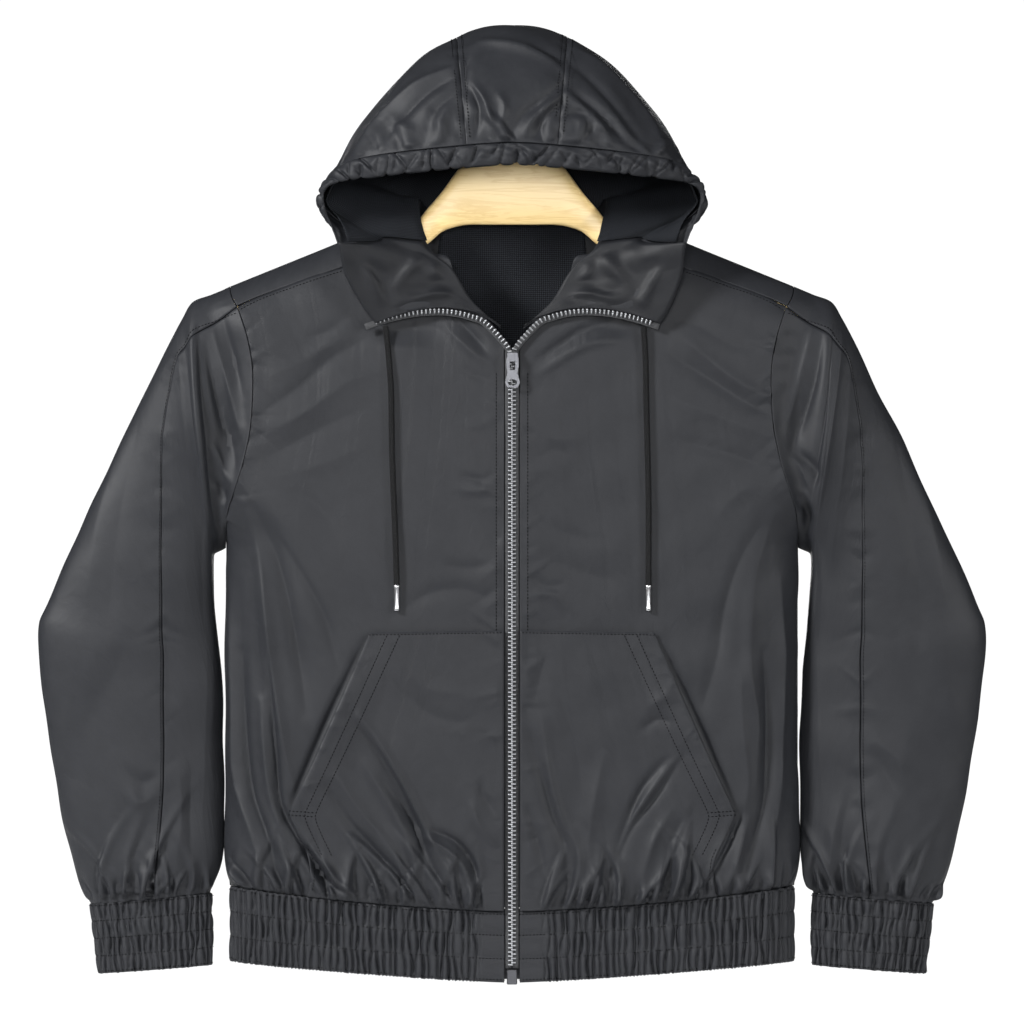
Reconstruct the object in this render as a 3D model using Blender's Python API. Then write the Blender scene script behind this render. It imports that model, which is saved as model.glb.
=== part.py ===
"""Hooded windbreaker jacket on a wooden hanger, held by the hanger's hook.

Every cut piece is its own thin closed solid, 0.3 mm or more from its
neighbours.  Sizes below are in millimetres and become metres where a mesh
is made.  +Z is up and the front of the jacket faces -Y.  The origin is the
inner crown of the hook.  "right" and "left" are the wearer's.
"""
import math

import bmesh
import bpy
import numpy as np

MM = 0.001

# ---------------------------------------------------------------- sizes
CLOTH = 1.4                # shell cloth with its backing
LINING = 1.0               # mesh lining and facings
SEAM = 0.5                 # gap between two pieces sewn together
LAYER = 0.5                # gap between two pieces lying on each other
ARMHOLE_GAP = 1.1          # the sleeve leans away from the body at this seam
SIDE_CLEAR = 0.05          # a side seam stops this far short of the form's edge

BODY_HALF_WIDTH = 246.0
HIP_TAPER, HIP_TAPER_Z, HIP_TAPER_HEIGHT = 4.0, -660.0, 60.0
SIDE_OPENING, SIDE_OPENING_HEIGHT = 90.0, 120.0   # the body's form runs on into the sleeve
SIDE_ROUND = 62.0          # width over which the body rounds to its side
TOP_ROUND = 46.0           # height over which it rounds to the shoulder
ARMPIT_Z = -411.0
SLIDER_TOP_Z = -243.0
ZIP_EDGE = 6.6             # front edge of each front, from the centre
HEM_MIDDLE_TOP, HEM_MIDDLE_BOTTOM = -722.5, -783.5
HEM_SIDE_RISE_TOP, HEM_SIDE_RISE_BOTTOM = 20.7, 17.5
HEM_HALF_WIDTH, HEM_MIDDLE_Z = 242.5, -745.0
HEM_PLAIN_END = 27.0       # the band is plain from the zip to here
HEM_ROWS, CUFF_ROWS = 3, 4  # puffs between the rows of elastic
HEM_GATHERS_FRONT, HEM_GATHERS_BACK = 16, 28
CUFF_GATHERS = 20
BRIM_GATHERS = 22

# height, depth of the front and depth of the back from the middle plane
BODY_DEPTH = (
    # z, front, back
    (-110, 24, 24),
    (-190, 29, 26),
    (-260, 36, 31),
    (-411, 42, 35),
    (-600, 42, 35),
    (-703, 38, 32),
    (-785, 35, 30),
)

# crest of the shoulder, neck to sleeve, and a virtual crest over the neck
SHOULDER_CREST = (
    # x, z
    (0, -92),
    (40, -100),
    (72, -114),
    (143.6, -146),
    (242.5, -186),
    (275, -199.5),
    (330, -235),
)

# neck edge of a front, from the slider up to the shoulder seam
FRONT_NECK = (
    # x, z
    (6.6, -237),
    (12, -225),
    (36, -199),
    (50, -174),
    (63, -159),
    (84, -148),
)

# neck edge of the back, from its middle to the crest
BACK_NECK = (
    # x, drop behind the crest
    (0, 42),
    (32, 36),
    (62, 24),
    (80, 10),
    (86, 1),
)

# shoulder seam lying forward of the crest, neck to armhole
SHOULDER_SEAM = (
    # x, z
    (84, -148),
    (140, -168),
    (208, -191.5),
    (235.6, -204),
)

# how far the armhole bows inward from the line crest to armpit
ARMHOLE_BOW = (
    # share of the way up, bow
    (0.0, 0.0),
    (0.15, 1.5),
    (0.24, 9.0),
    (0.34, 15.3),
    (0.45, 20.3),
    (0.58, 21.8),
    (0.70, 21.3),
    (0.81, 16.0),
    (0.92, 7.5),
    (1.0, 0.0),
)
ARMHOLE_START, SHOULDER_SEAM_SHARE = 0.03, 0.92   # of the way up the armhole
ARMHOLE_TOP = (242.5, -186.0)
ARMHOLE_BOTTOM = (246.0, -411.0)

# rings of the sleeve from the armhole to the cuff seam
SLEEVE_RINGS = (
    # outer x, z, inner x, z, front, back, seam share, blend, bow, step
    (242.5, -186.0, 246.0, -411.0, 30, 26, 0.92, 0.00, 1.00, 0.0),
    (259.0, -193.0, 252.0, -413.5, 31, 26, 0.89, 0.40, 0.50, 7.0),
    (275.0, -199.5, 256.3, -416.0, 33, 27, 0.87, 0.85, 0.00, -6.0),
    (284.0, -214.0, 257.0, -421.5, 33, 27, 0.88, 1.00, 0.00, -6.0),
    (293.3, -232.0, 257.0, -428.0, 32, 27, 0.89, 1.00, 0.00, -4.0),
    (311.0, -267.0, 256.5, -441.0, 30, 26, 0.77, 1.00, 0.00, -1.0),
    (336.0, -318.0, 255.6, -458.0, 28, 25, 0.56, 1.00, 0.00, 0.0),
    (368.0, -387.0, 253.6, -480.0, 27, 24, 0.41, 1.00, 0.00, 0.0),
    (399.0, -456.0, 251.0, -505.0, 26, 23, 0.33, 1.00, 0.00, 0.0),
    (408.0, -482.0, 249.6, -520.0, 26, 23, 0.31, 1.00, 0.00, 0.0),
    (405.0, -527.0, 248.2, -548.0, 25, 22, 0.325, 1.00, 0.00, 0.0),
    (398.0, -577.0, 247.6, -590.0, 24, 22, 0.34, 1.00, 0.00, 0.0),
    (389.6, -628.0, 247.6, -634.0, 24, 22, 0.37, 1.00, 0.00, 0.0),
    (378.4, -679.0, 249.0, -678.0, 24, 22, 0.43, 1.00, 0.00, 0.0),
    (369.0, -708.0, 255.0, -700.0, 22, 20, 0.46, 1.00, 0.00, 0.0),
    (363.0, -716.0, 258.0, -706.5, 20, 18, 0.46, 1.00, 0.00, 0.0),
)
# arches of the hood: rim, widest line and neck edge, from the zip edge of the
# turned-out collar (row 0) to the middle of the brim (last row)
HOOD_ARCHES = (
    # rim x, y, z, widest x, y, z, neck x, y, z
    (117.5, -39.0, -214.6, 56.0, -37.0, -204.0, 10.0, -35.6, -223.5),
    (131.0, -43.0, -198.0, 76.0, -37.0, -193.0, 22.0, -34.6, -212.0),
    (143.5, -48.0, -176.0, 92.0, -37.0, -178.0, 36.0, -33.0, -197.0),
    (149.0, -54.0, -152.0, 103.0, -38.0, -158.0, 51.0, -31.0, -172.0),
    (158.0, -60.0, -125.0, 160.0, -36.0, -122.0, 73.0, -28.6, -151.0),
    (160.0, -65.0, -107.0, 160.5, -28.0, -103.0, 80.5, -4.0, -116.0),
    (146.0, -71.0, -91.0, 148.0, -22.0, -80.0, 69.0, 18.5, -128.0),
    (112.0, -84.0, -85.0, 122.0, -19.0, -38.0, 44.0, 23.0, -131.8),
    (58.0, -94.0, -82.0, 72.0, -20.0, 14.5, 22.0, 24.4, -132.6),
    (0.0, -98.0, -80.5, 0.0, -20.0, 38.7, 0.0, 24.6, -132.6),
)
HOOD_MIDDLE = 9.0          # arch number at the middle of the brim
HOOD_SEAM = 8.25           # arch number of the seam beside the middle panel
FACING_END = 3.1           # arch number where facing meets mesh lining
BRIM_WIDTH = 21.0          # channel along the rim that holds the drawcord
HOOD_BULGE = 10.0

POCKET_TOP_Z = -481.5
POCKET_EDGE = (
    # x, z of the slanted hand opening, hem to top
    (176.0, -709.0),
    (174.5, -676.0),
    (188.0, -640.0),
    (155.5, -560.0),
    (122.0, -483.5),
)
BACK_LINING_END_Z = -300.0
ZIP_CENTRE = 3.3           # middle of one half of the zip, from the centre
ZIP_HALF_WIDTH = 2.7
ZIP_HALF_DEPTH = 1.2
ZIP_END_Z = -771.0

HANGER_GAP = 1.3
HANGER = (
    # x, top z, bottom z, half thickness
    (0, -62.0, -133.0, 7.0),
    (18, -63.5, -133.0, 7.0),
    (36, -75.0, -133.0, 7.5),
    (47, -86.0, -134.5, 8.0),
    (60, -104.0, -139.0, 8.0),
    (72, -118.0, -149.0, 8.5),
    (84, -130.5, -155.0, 9.0),
    (112, -138.5, -166.0, 9.5),
    (160, -157.0, -182.0, 10.0),
    (210, -177.0, -199.0, 10.5),
    (246, -194.0, -211.0, 9.0),
    (258, -201.5, -214.0, 6.5),
)
HOOK_RADIUS, HOOK_WIRE = 19.0, 2.0
CORD_RADIUS = 2.5
AGLET_LENGTH, AGLET_GAP = 22.0, 0.4
CORD_ROUTE_RIGHT = (
    # distance from the middle, z, clearance from the front
    (109.0, -220.8, 1.6),
    (105.8, -247.7, 0.8),
    (103.2, -280.4, 0.8),
    (102.3, -330.2, 0.8),
    (100.6, -395.6, 0.8),
    (98.9, -442.9, 0.8),
)
CORD_ROUTE_LEFT = (
    # distance from the middle, z, clearance from the front
    (112.5, -221.5, 1.6),
    (114.6, -247.7, 0.8),
    (115.4, -280.4, 0.8),
    (115.9, -330.2, 0.8),
    (116.5, -395.6, 0.8),
    (117.0, -442.9, 0.8),
)
AGLET_RADII = (
    # share of its length, radius
    (0.0, 2.5),
    (0.12, 2.5),
    (0.13, 2.2),
    (0.88, 2.2),
    (0.89, 2.5),
    (1.0, 2.3),
)
SLIDER_BACK_Y = -38.9
ZIP_BOX = ((-4.5, -36.8, -785.0), (4.5, -32.2, -771.8))     # retainer at the foot of the zip
PULL_AXIS = (0.4, -42.7, -248.6)
PULL_OUTLINE = (
    # half width, drop below the axis
    (5.0, -0.8),
    (5.2, 6.0),
    (4.3, 12.8),
    (6.3, 20.6),
    (4.2, 24.9),
)

CUFF_TOP = (363.0, -717.0, 258.0, -708.0)       # outer x, z, inner x, z
CUFF_BOTTOM = (356.0, -777.0, 257.5, -769.5)
CUFF_HALF_WIDTH, CUFF_HALF_DEPTH = 52.0, 19.0
CUFF_PUFF = (1.3, 1.1)     # middle height of a puff, and its change from ridge to valley
HEM_PUFF = (1.4, 1.2)
BRIM_PUFF = (1.2, 1.0)


# ------------------------------------------------------------- helpers
def column(table, index):
    return np.array([row[index] for row in table], dtype=float)


def along(table, value, index=1):
    """Linear reading of one column of a table by its first column."""
    keys = column(table, 0)
    order = np.argsort(keys)
    return np.interp(value, keys[order], column(table, index)[order])


def smooth_rows(rows, t):
    """Catmull-Rom reading of all columns; t counts rows, 0 to len - 1."""
    rows = np.asarray(rows, dtype=float)
    t = np.atleast_1d(np.asarray(t, dtype=float))
    last = len(rows) - 1
    i = np.clip(np.floor(t).astype(int), 0, last - 1)
    f = (t - i).reshape(t.shape + (1,))
    p0 = rows[np.maximum(i - 1, 0)]
    p1 = rows[i]
    p2 = rows[i + 1]
    p3 = rows[np.minimum(i + 2, last)]
    return 0.5 * (2 * p1 + (p2 - p0) * f + (2 * p0 - 5 * p1 + 4 * p2 - p3) * f ** 2
                  + (3 * p1 - p0 - 3 * p2 + p3) * f ** 3)


def path_points(points, count):
    """Evenly spaced points on a smooth curve through a few points."""
    points = np.asarray(points, dtype=float)
    fine = smooth_rows(points, np.linspace(0, len(points) - 1, 40 * len(points)))
    steps = np.linalg.norm(np.diff(fine, axis=0), axis=1)
    length = np.concatenate([[0.0], np.cumsum(steps)])
    wanted = np.linspace(0, 1, count) * length[-1]
    return np.stack([np.interp(wanted, length, fine[:, c]) for c in range(fine.shape[1])], axis=1)


def rounding(distance, radius):
    """Quarter-ellipse rise from 0 at an edge to 1 at the radius."""
    share = 1.0 - np.clip(distance / radius, 0.0, 1.0)
    return np.sqrt(np.maximum(1.0 - share ** 2, 0.0))


def ease(value):
    value = np.clip(value, 0.0, 1.0)
    return value * value * (3.0 - 2.0 * value)


def unit(vectors):
    return vectors / np.maximum(np.linalg.norm(vectors, axis=-1, keepdims=True), 1e-9)


def material(name, colour, roughness, metallic=0.0):
    made = bpy.data.materials.new(name)
    made.use_nodes = True
    shader = made.node_tree.nodes["Principled BSDF"]
    shader.inputs["Base Color"].default_value = (*colour, 1.0)
    shader.inputs["Roughness"].default_value = roughness
    shader.inputs["Metallic"].default_value = metallic
    return made


def add_mesh(name, points, faces, finish, origin=(0.0, 0.0, 0.0)):
    """A closed mesh with its faces turned outward, placed at its origin."""
    mesh = bpy.data.meshes.new(name)
    local = (np.asarray(points, dtype=float) - np.asarray(origin, dtype=float)) * MM
    mesh.from_pydata([tuple(p) for p in local], [], faces)
    body = bmesh.new()
    body.from_mesh(mesh)
    if body.calc_volume(signed=True) < 0.0:
        bmesh.ops.reverse_faces(body, faces=body.faces[:])
    body.to_mesh(mesh)
    body.free()
    mesh.materials.append(finish)
    mesh.shade_smooth()
    mesh.set_sharp_from_angle(angle=math.radians(40))
    placed = bpy.data.objects.new(name, mesh)
    placed.location = tuple(v * MM for v in origin)
    bpy.context.scene.collection.objects.link(placed)
    return placed


def wall(name, outer, inner, finish, closed=False):
    """A thin solid between two grids of points; the inner may have fewer rows."""
    columns = outer.shape[1]
    rows = {"outer": outer.shape[0], "inner": inner.shape[0]}
    points = np.concatenate([outer.reshape(-1, 3), inner.reshape(-1, 3)])
    start = {"outer": 0, "inner": outer.shape[0] * columns}
    last = columns if closed else columns - 1
    faces = []

    def at(layer, row, col):
        return start[layer] + (row % rows[layer]) * columns + col % columns

    for layer, turn in (("outer", 1), ("inner", -1)):
        for row in range(rows[layer] - 1):
            for col in range(last):
                ring = (at(layer, row, col), at(layer, row, col + 1),
                        at(layer, row + 1, col + 1), at(layer, row + 1, col))
                faces.append(ring[::turn])
    for row, turn in ((0, 1), (-1, -1)):
        for col in range(last):
            ring = (at("outer", row, col + 1), at("outer", row, col),
                    at("inner", row, col), at("inner", row, col + 1))
            faces.append(ring[::turn])
    if not closed:
        for col, turn in ((0, 1), (columns - 1, -1)):
            ring = [at("outer", row, col) for row in range(rows["outer"])]
            ring += [at("inner", row, col) for row in reversed(range(rows["inner"]))]
            faces.append(tuple(ring[::turn]))
    if not closed and rows["outer"] == rows["inner"]:
        faces = faces[:-2]
        for row in range(rows["outer"] - 1):
            for col, turn in ((0, 1), (columns - 1, -1)):
                ring = (at("outer", row, col), at("outer", row + 1, col),
                        at("inner", row + 1, col), at("inner", row, col))
                faces.append(ring[::turn])
    return add_mesh(name, points, faces, finish)


def surface_grid(surface, a, b):
    """Points and outward normals of surface(a, b) on a grid."""
    step = 1e-3
    points = surface(a, b)
    along_a = surface(a + step, b) - surface(a - step, b)
    along_b = surface(a, b + step) - surface(a, b - step)
    return points, unit(np.cross(along_a, along_b))


def mirrored(points, side):
    """The wearer's left is +X; side is -1 for right and +1 for left."""
    copied = np.array(points, dtype=float)
    copied[..., 0] *= side
    return copied


# ---------------------------------------------------------------- body
def crest_z(x):
    return along(SHOULDER_CREST, np.abs(x))


def side_x(z):
    """Half width at which the body closes; it opens out above the armpit."""
    hip = HIP_TAPER * ease((HIP_TAPER_Z - z) / HIP_TAPER_HEIGHT)
    return BODY_HALF_WIDTH - hip + SIDE_OPENING * ease((z - ARMPIT_Z) / SIDE_OPENING_HEIGHT)


def body_depth(x, z, back):
    depth = along(BODY_DEPTH, z, 2 if back else 1)
    beside = rounding(side_x(z) - np.abs(x), SIDE_ROUND)
    above = rounding(crest_z(x) - z, TOP_ROUND)
    return depth * beside * above


def body_point(x, z, back):
    """Point and outward normal; back is an array of True and False."""
    x, z, back = np.broadcast_arrays(np.asarray(x, float), np.asarray(z, float), back)
    sign = np.where(back, 1.0, -1.0)
    step = 0.02
    inner = -np.sign(x) * step

    def depth(px, pz):
        return np.where(back, body_depth(px, pz, True), body_depth(px, pz, False))

    here = depth(x, z)
    slope_x = np.where(x == 0, 0.0, (depth(x + inner, z) - here) / np.where(inner == 0, 1.0, inner))
    slope_z = (here - depth(x, z - step)) / step
    normal = unit(np.stack([-slope_x, sign, -slope_z], axis=-1))
    return np.stack([x, sign * here, z], axis=-1), normal


def hem_top_z(x):
    return HEM_MIDDLE_TOP + HEM_SIDE_RISE_TOP * (np.abs(x) / HEM_HALF_WIDTH) ** 1.6


def hem_bottom_z(x):
    return HEM_MIDDLE_BOTTOM + HEM_SIDE_RISE_BOTTOM * (np.abs(x) / HEM_HALF_WIDTH) ** 1.3


def armhole(share):
    """Armhole in the front view from the armpit (0) to the crest (1)."""
    top, bottom = np.array(ARMHOLE_TOP), np.array(ARMHOLE_BOTTOM)
    line = bottom + np.multiply.outer(share, top - bottom)
    line[..., 0] -= along(ARMHOLE_BOW, share)
    return line


def toward_side(count, power=2.2):
    """Spacing from 0 to 1 that grows dense toward 1."""
    return 1.0 - (1.0 - np.linspace(0, 1, count)) ** power


def front_grid(across, up):
    """Front view points of a front: across from zip to side, up from the hem."""
    side_bottom = np.array([side_x(-705.0) - SIDE_CLEAR, hem_top_z(242.0) + SEAM])
    side_line = np.array([[side_x(z) - SIDE_CLEAR, z] for z in np.linspace(side_bottom[1], ARMPIT_Z, 12)])
    side_line[:, 0] -= ARMHOLE_GAP * ease((side_line[:, 1] + 440.0) / 29.0)
    hole = armhole(np.linspace(ARMHOLE_START, SHOULDER_SEAM_SHARE, 12))
    hole[:, 0] -= ARMHOLE_GAP
    right_edge = path_points(np.concatenate([side_line, hole]), len(up))
    top = np.array(FRONT_NECK[:-1] + tuple((x - 0.3, z - SEAM) for x, z in SHOULDER_SEAM[1:-1]))
    top = np.concatenate([top, [right_edge[-1]]])
    top_edge = path_points(top, 60)
    left_edge = np.stack([np.full(len(up), ZIP_EDGE), np.linspace(hem_top_z(0) + SEAM, top[0][1], len(up))], 1)
    length = np.linspace(0, 1, 60)
    even = np.linspace(0, 1, len(across))
    top_line = np.stack([np.interp(even, length, top_edge[:, c]) for c in (0, 1)], 1)
    x_bottom = ZIP_EDGE + (side_bottom[0] - ZIP_EDGE) * across
    bottom_line = np.stack([x_bottom, hem_top_z(x_bottom) + SEAM], 1)
    u, v = across[None, :, None], up[:, None, None]
    ruled = (1 - v) * bottom_line[None] + v * top_line[None]
    sides = (1 - u) * left_edge[:, None] + u * right_edge[:, None]
    corners = ((1 - u) * (1 - v) * bottom_line[0] + u * (1 - v) * bottom_line[-1]
               + (1 - u) * v * top_line[0] + u * v * top_line[-1])
    return ruled + sides - corners


def build_front(side, name, finish):
    flat = front_grid(toward_side(10), np.linspace(0, 1, 20))
    points, normals = body_point(flat[..., 0], flat[..., 1], False)
    points[..., 1] -= SEAM / 2 * (1 - ease(-points[..., 1] / 6.0))
    inner = points - CLOTH * normals
    inner[..., 1] = np.minimum(inner[..., 1], -SEAM / 2)
    return wall(name, mirrored(points, side), mirrored(inner, side), finish)


def drop_to_arc(drop):
    """Distance walked over the rounded crest for a drop below it."""
    size = np.abs(drop)
    on_round = TOP_ROUND * np.arccos(np.clip(1.0 - size / TOP_ROUND, 0.0, 1.0))
    return np.sign(drop) * np.where(size < TOP_ROUND, on_round, TOP_ROUND * (math.pi / 2 - 1) + size)


def arc_to_drop(arc):
    size = np.abs(arc)
    quarter = TOP_ROUND * math.pi / 2
    on_round = TOP_ROUND * (1.0 - np.cos(np.minimum(size, quarter) / TOP_ROUND))
    return np.sign(arc) * np.where(size < quarter, on_round, size - TOP_ROUND * (math.pi / 2 - 1))


def back_grid(across, up):
    """Half of the back as (x, arc): arc is 0 on the crest, minus in front."""
    side_low = hem_top_z(242.0) + SEAM
    side_line = np.array([[side_x(z) - SIDE_CLEAR, z] for z in np.linspace(side_low, ARMPIT_Z, 12)])
    side_line[:, 0] -= ARMHOLE_GAP * ease((side_line[:, 1] + 440.0) / 29.0)
    hole = armhole(np.linspace(0.03, 1.0, 14))
    over = armhole(np.linspace(0.985, 0.925, 4))
    hole[:, 0] -= ARMHOLE_GAP
    over[:, 0] -= ARMHOLE_GAP
    behind = np.concatenate([side_line, hole])
    edge = np.concatenate([
        np.stack([behind[:, 0], drop_to_arc(np.maximum(crest_z(behind[:, 0]) - behind[:, 1], 0.0))], 1),
        np.stack([over[:, 0], -drop_to_arc(np.maximum(crest_z(over[:, 0]) - over[:, 1], 1.0))], 1)])
    seam = np.array(SHOULDER_SEAM[:-1]) + (0.0, SEAM)
    seam_arc = np.stack([seam[:, 0], -drop_to_arc(crest_z(seam[:, 0]) - seam[:, 1])], 1)
    neck_arc = np.array(BACK_NECK)
    neck_arc[:, 1] = drop_to_arc(neck_arc[:, 1])
    right_edge = path_points(edge, len(up))
    top_edge = path_points(np.concatenate([neck_arc, seam_arc, [right_edge[-1]]]), 60)
    x_bottom = edge[0][0] * across
    bottom_line = np.stack([x_bottom, drop_to_arc(crest_z(x_bottom) - hem_top_z(x_bottom) - SEAM)], 1)
    share = np.linspace(0, 1, 60)
    even = np.linspace(0, 1, len(across))
    top_line = np.stack([np.interp(even, share, top_edge[:, c]) for c in (0, 1)], 1)
    left_edge = np.stack([np.zeros(len(up)), bottom_line[0][1] + (top_line[0][1] - bottom_line[0][1]) * up], 1)
    rise = np.linspace(0, 1, len(up))
    right_edge = np.stack([np.interp(up, rise, right_edge[:, c]) for c in (0, 1)], 1)
    u, v = across[None, :, None], up[:, None, None]
    ruled = (1 - v) * bottom_line[None] + v * top_line[None]
    sides = (1 - u) * left_edge[:, None] + u * right_edge[:, None]
    corners = ((1 - u) * (1 - v) * bottom_line[0] + u * (1 - v) * bottom_line[-1]
               + (1 - u) * v * top_line[0] + u * v * top_line[-1])
    return ruled + sides - corners


def build_back(name, finish):
    half = back_grid(toward_side(10), toward_side(21, 1.7))
    drop = arc_to_drop(half[..., 1])
    x, z, back = half[..., 0], crest_z(half[..., 0]) - np.abs(drop), drop >= 0.0
    points, normals = body_point(x, z, back)
    near_side = (np.abs(points[..., 1]) < 6.0) & (z < ARMPIT_Z + 6.0)
    points[..., 1] += np.where(near_side, SEAM / 2 * (1 - ease(points[..., 1] / 6.0)), 0.0)
    inner = points - CLOTH * normals
    inner[..., 1] = np.where(near_side, np.maximum(inner[..., 1], SEAM / 2), inner[..., 1])
    whole = [np.concatenate([mirrored(grid, -1)[:, :0:-1], grid], axis=1) for grid in (points, inner)]
    return wall(name, whole[0], whole[1], finish)


# -------------------------------------------------------------- sleeves
def sleeve_surface(ring, angle):
    """Angle runs from the inner edge (0) over the front to the outer edge (pi) and back."""
    ring, angle = np.broadcast_arrays(np.asarray(ring, float), np.asarray(angle, float))
    row = smooth_rows(SLEEVE_RINGS, np.clip(ring, 0, len(SLEEVE_RINGS) - 1))
    share = (1.0 - np.cos(angle)) / 2.0
    flat = row[..., 2:4] + (row[..., 0:2] - row[..., 2:4]) * share[..., None]
    blend = np.clip(row[..., 7], 0.0, 1.0)
    x = flat[..., 0] - row[..., 8] * along(ARMHOLE_BOW, share) + SEAM / 2 * (1 - blend)
    hole = armhole(share)
    rise = np.sin(angle)
    front = (1 - blend) * body_depth(hole[..., 0], hole[..., 1], False) + blend * row[..., 4] * rise
    behind = (1 - blend) * body_depth(hole[..., 0], hole[..., 1], True) - blend * row[..., 5] * rise
    y = np.where(rise > 0, -front + row[..., 9] * rise ** 2, behind)
    return np.stack([x, y, flat[..., 1]], axis=-1)


def sleeve_seam_angle(ring):
    return np.arccos(1.0 - 2.0 * smooth_rows(SLEEVE_RINGS, ring)[..., 6])


def build_sleeve(side, part_name, finish, behind):
    last = len(SLEEVE_RINGS) - 1
    ring = np.concatenate([[0, 0.5, 1, 1.5, 2], np.arange(3, last + 0.1, 1.0)])
    seam = sleeve_seam_angle(ring)
    edge = 0.012
    if behind:
        start, end, count = seam + 0.012, np.full(len(ring), 2 * math.pi - edge), 13
    else:
        start, end, count = np.full(len(ring), edge), seam - 0.012, 7
    share = np.linspace(0, 1, count)
    angle = start[:, None] + (end - start)[:, None] * share[None]
    points, normals = surface_grid(sleeve_surface, ring[:, None] + 0 * angle, angle)
    centre = points.mean(axis=1, keepdims=True)
    if np.sum((points - centre) * normals) < 0:
        normals = -normals
    inner = points - CLOTH * normals
    for grid in (points, inner):
        limit = SEAM / 2
        if behind:
            grid[..., 1] = np.where(angle > 1.5 * math.pi, np.maximum(grid[..., 1], limit), grid[..., 1])
        else:
            grid[..., 1] = np.where(angle < 0.5 * math.pi, np.minimum(grid[..., 1], -limit), grid[..., 1])
    return wall(part_name, mirrored(points, side), mirrored(inner, side), finish)


def zigzag(count):
    return np.where(np.arange(count) % 2 == 0, 1.0, -1.0)


def build_cuff(side, name, finish):
    down = np.linspace(0, 1, 9)
    angle = np.linspace(0, 2 * math.pi, 2 * CUFF_GATHERS, endpoint=False)
    ends = np.array(CUFF_TOP)[None] + (np.array(CUFF_BOTTOM) - CUFF_TOP)[None] * down[:, None]
    outer_end, inner_end = ends[:, None, 0:2], ends[:, None, 2:4]
    share = ((1.0 - np.cos(angle)) / 2.0)[None, :, None]
    flat = inner_end + (outer_end - inner_end) * share
    y = np.broadcast_to(-CUFF_HALF_DEPTH * np.sin(angle), flat.shape[:2])
    base = np.stack([flat[..., 0], y, flat[..., 1]], axis=-1)
    outward = unit(np.stack([-np.cos(angle) * CUFF_HALF_DEPTH, -np.sin(angle) * CUFF_HALF_WIDTH, 0 * angle], 1))
    outward = np.broadcast_to(outward, base.shape)
    puff = np.abs(np.sin(CUFF_ROWS * math.pi * down))[:, None, None]
    raised = puff * (CUFF_PUFF[0] + CUFF_PUFF[1] * zigzag(len(angle)))[None, :, None]
    return wall(name, mirrored(base + outward * raised, side), mirrored(base - CLOTH * outward, side)[[0, -1]],
                finish, closed=True)


# ------------------------------------------------------------- hem band
def even_ring_x(start, end, count, back):
    """x values evenly spaced along the hem's outline."""
    fine = start + (end - start) * toward_side(400, 3.0)
    depth = body_depth(fine, np.full(400, HEM_MIDDLE_Z), back)
    steps = np.hypot(np.diff(fine), np.diff(depth))
    length = np.concatenate([[0.0], np.cumsum(steps)])
    return np.interp(np.linspace(0, length[-1], count), length, fine)


def hem_walls(x, back, ripple):
    down = np.linspace(0, 1, 7)
    top, bottom = hem_top_z(x), hem_bottom_z(x)
    z = top[None] + (bottom - top)[None] * down[:, None]
    points, normals = body_point(np.broadcast_to(x, z.shape), z, back)
    puff = np.abs(np.sin(HEM_ROWS * math.pi * down))[:, None, None]
    outer = points + normals * puff * (HEM_PUFF[0] + HEM_PUFF[1] * ripple)[None, :, None]
    inner = (points - CLOTH * normals)[[0, -1]]
    sign = 1.0 if back else -1.0
    for grid in (outer, inner):
        grid[..., 1] = sign * np.maximum(sign * grid[..., 1], SEAM / 2)
    return outer, inner


def build_hem_front(side, name, finish):
    end = side_x(HEM_MIDDLE_Z) - SIDE_CLEAR
    gathered = even_ring_x(HEM_PLAIN_END, end, 2 * HEM_GATHERS_FRONT + 1, False)
    x = np.concatenate([[ZIP_EDGE, 17.0], gathered])
    ripple = np.concatenate([[-1.0, -1.0], zigzag(len(gathered)) * -1])
    outer, inner = hem_walls(x, False, ripple)
    return wall(name, mirrored(outer, side), mirrored(inner, side), finish)


def build_hem_back(name, finish):
    half = even_ring_x(0.0, side_x(HEM_MIDDLE_Z) - SIDE_CLEAR, HEM_GATHERS_BACK + 1, True)
    x = np.concatenate([-half[:0:-1], half])
    outer, inner = hem_walls(x, True, zigzag(len(x)) * -1)
    return wall(name, outer, inner, finish)


# ----------------------------------------------------------------- hood
def hood_arches():
    half = np.array(HOOD_ARCHES)
    other = half[-2::-1].copy()
    half[:, 0::3] *= -1.0
    return np.concatenate([half, other])


def hood_surface(arch, down):
    """arch 0 to 18 from the right zip edge to the left; down 0 rim, 1 neck."""
    arch, down = np.broadcast_arrays(np.asarray(arch, float), np.asarray(down, float))
    row = smooth_rows(hood_arches(), np.clip(arch, 0, 2 * HOOD_MIDDLE))
    rim, wide, neck = row[..., 0:3], row[..., 3:6], row[..., 6:9]
    v = down[..., None]
    control = 2.0 * wide - (rim + neck) / 2.0
    collar = (1 - v) ** 2 * rim + 2 * v * (1 - v) * control + v ** 2 * neck
    angle = np.clip(v * math.pi, -0.1, math.pi + 0.1)
    over = np.minimum(angle, math.pi / 2)
    behind = np.maximum(angle - math.pi / 2, 0.0)
    rise, fall = np.sin(over), 1.0 - np.cos(behind)
    flat = rim + (wide - rim) * rise + (neck - wide) * fall
    deep = rim + (wide - rim) * (1.0 - np.cos(over)) + (neck - wide) * np.sin(behind)
    raised = flat.copy()
    raised[..., 1] = deep[..., 1]
    fold = np.minimum(arch, 2 * HOOD_MIDDLE - arch)
    raised[..., 1] += HOOD_BULGE * np.sin(2 * behind[..., 0]) * ease((fold - 4.5) / 3.0)
    share = ease((fold - 2.8) / 1.4)[..., None]
    return (1 - share) * collar + share * raised


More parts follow.
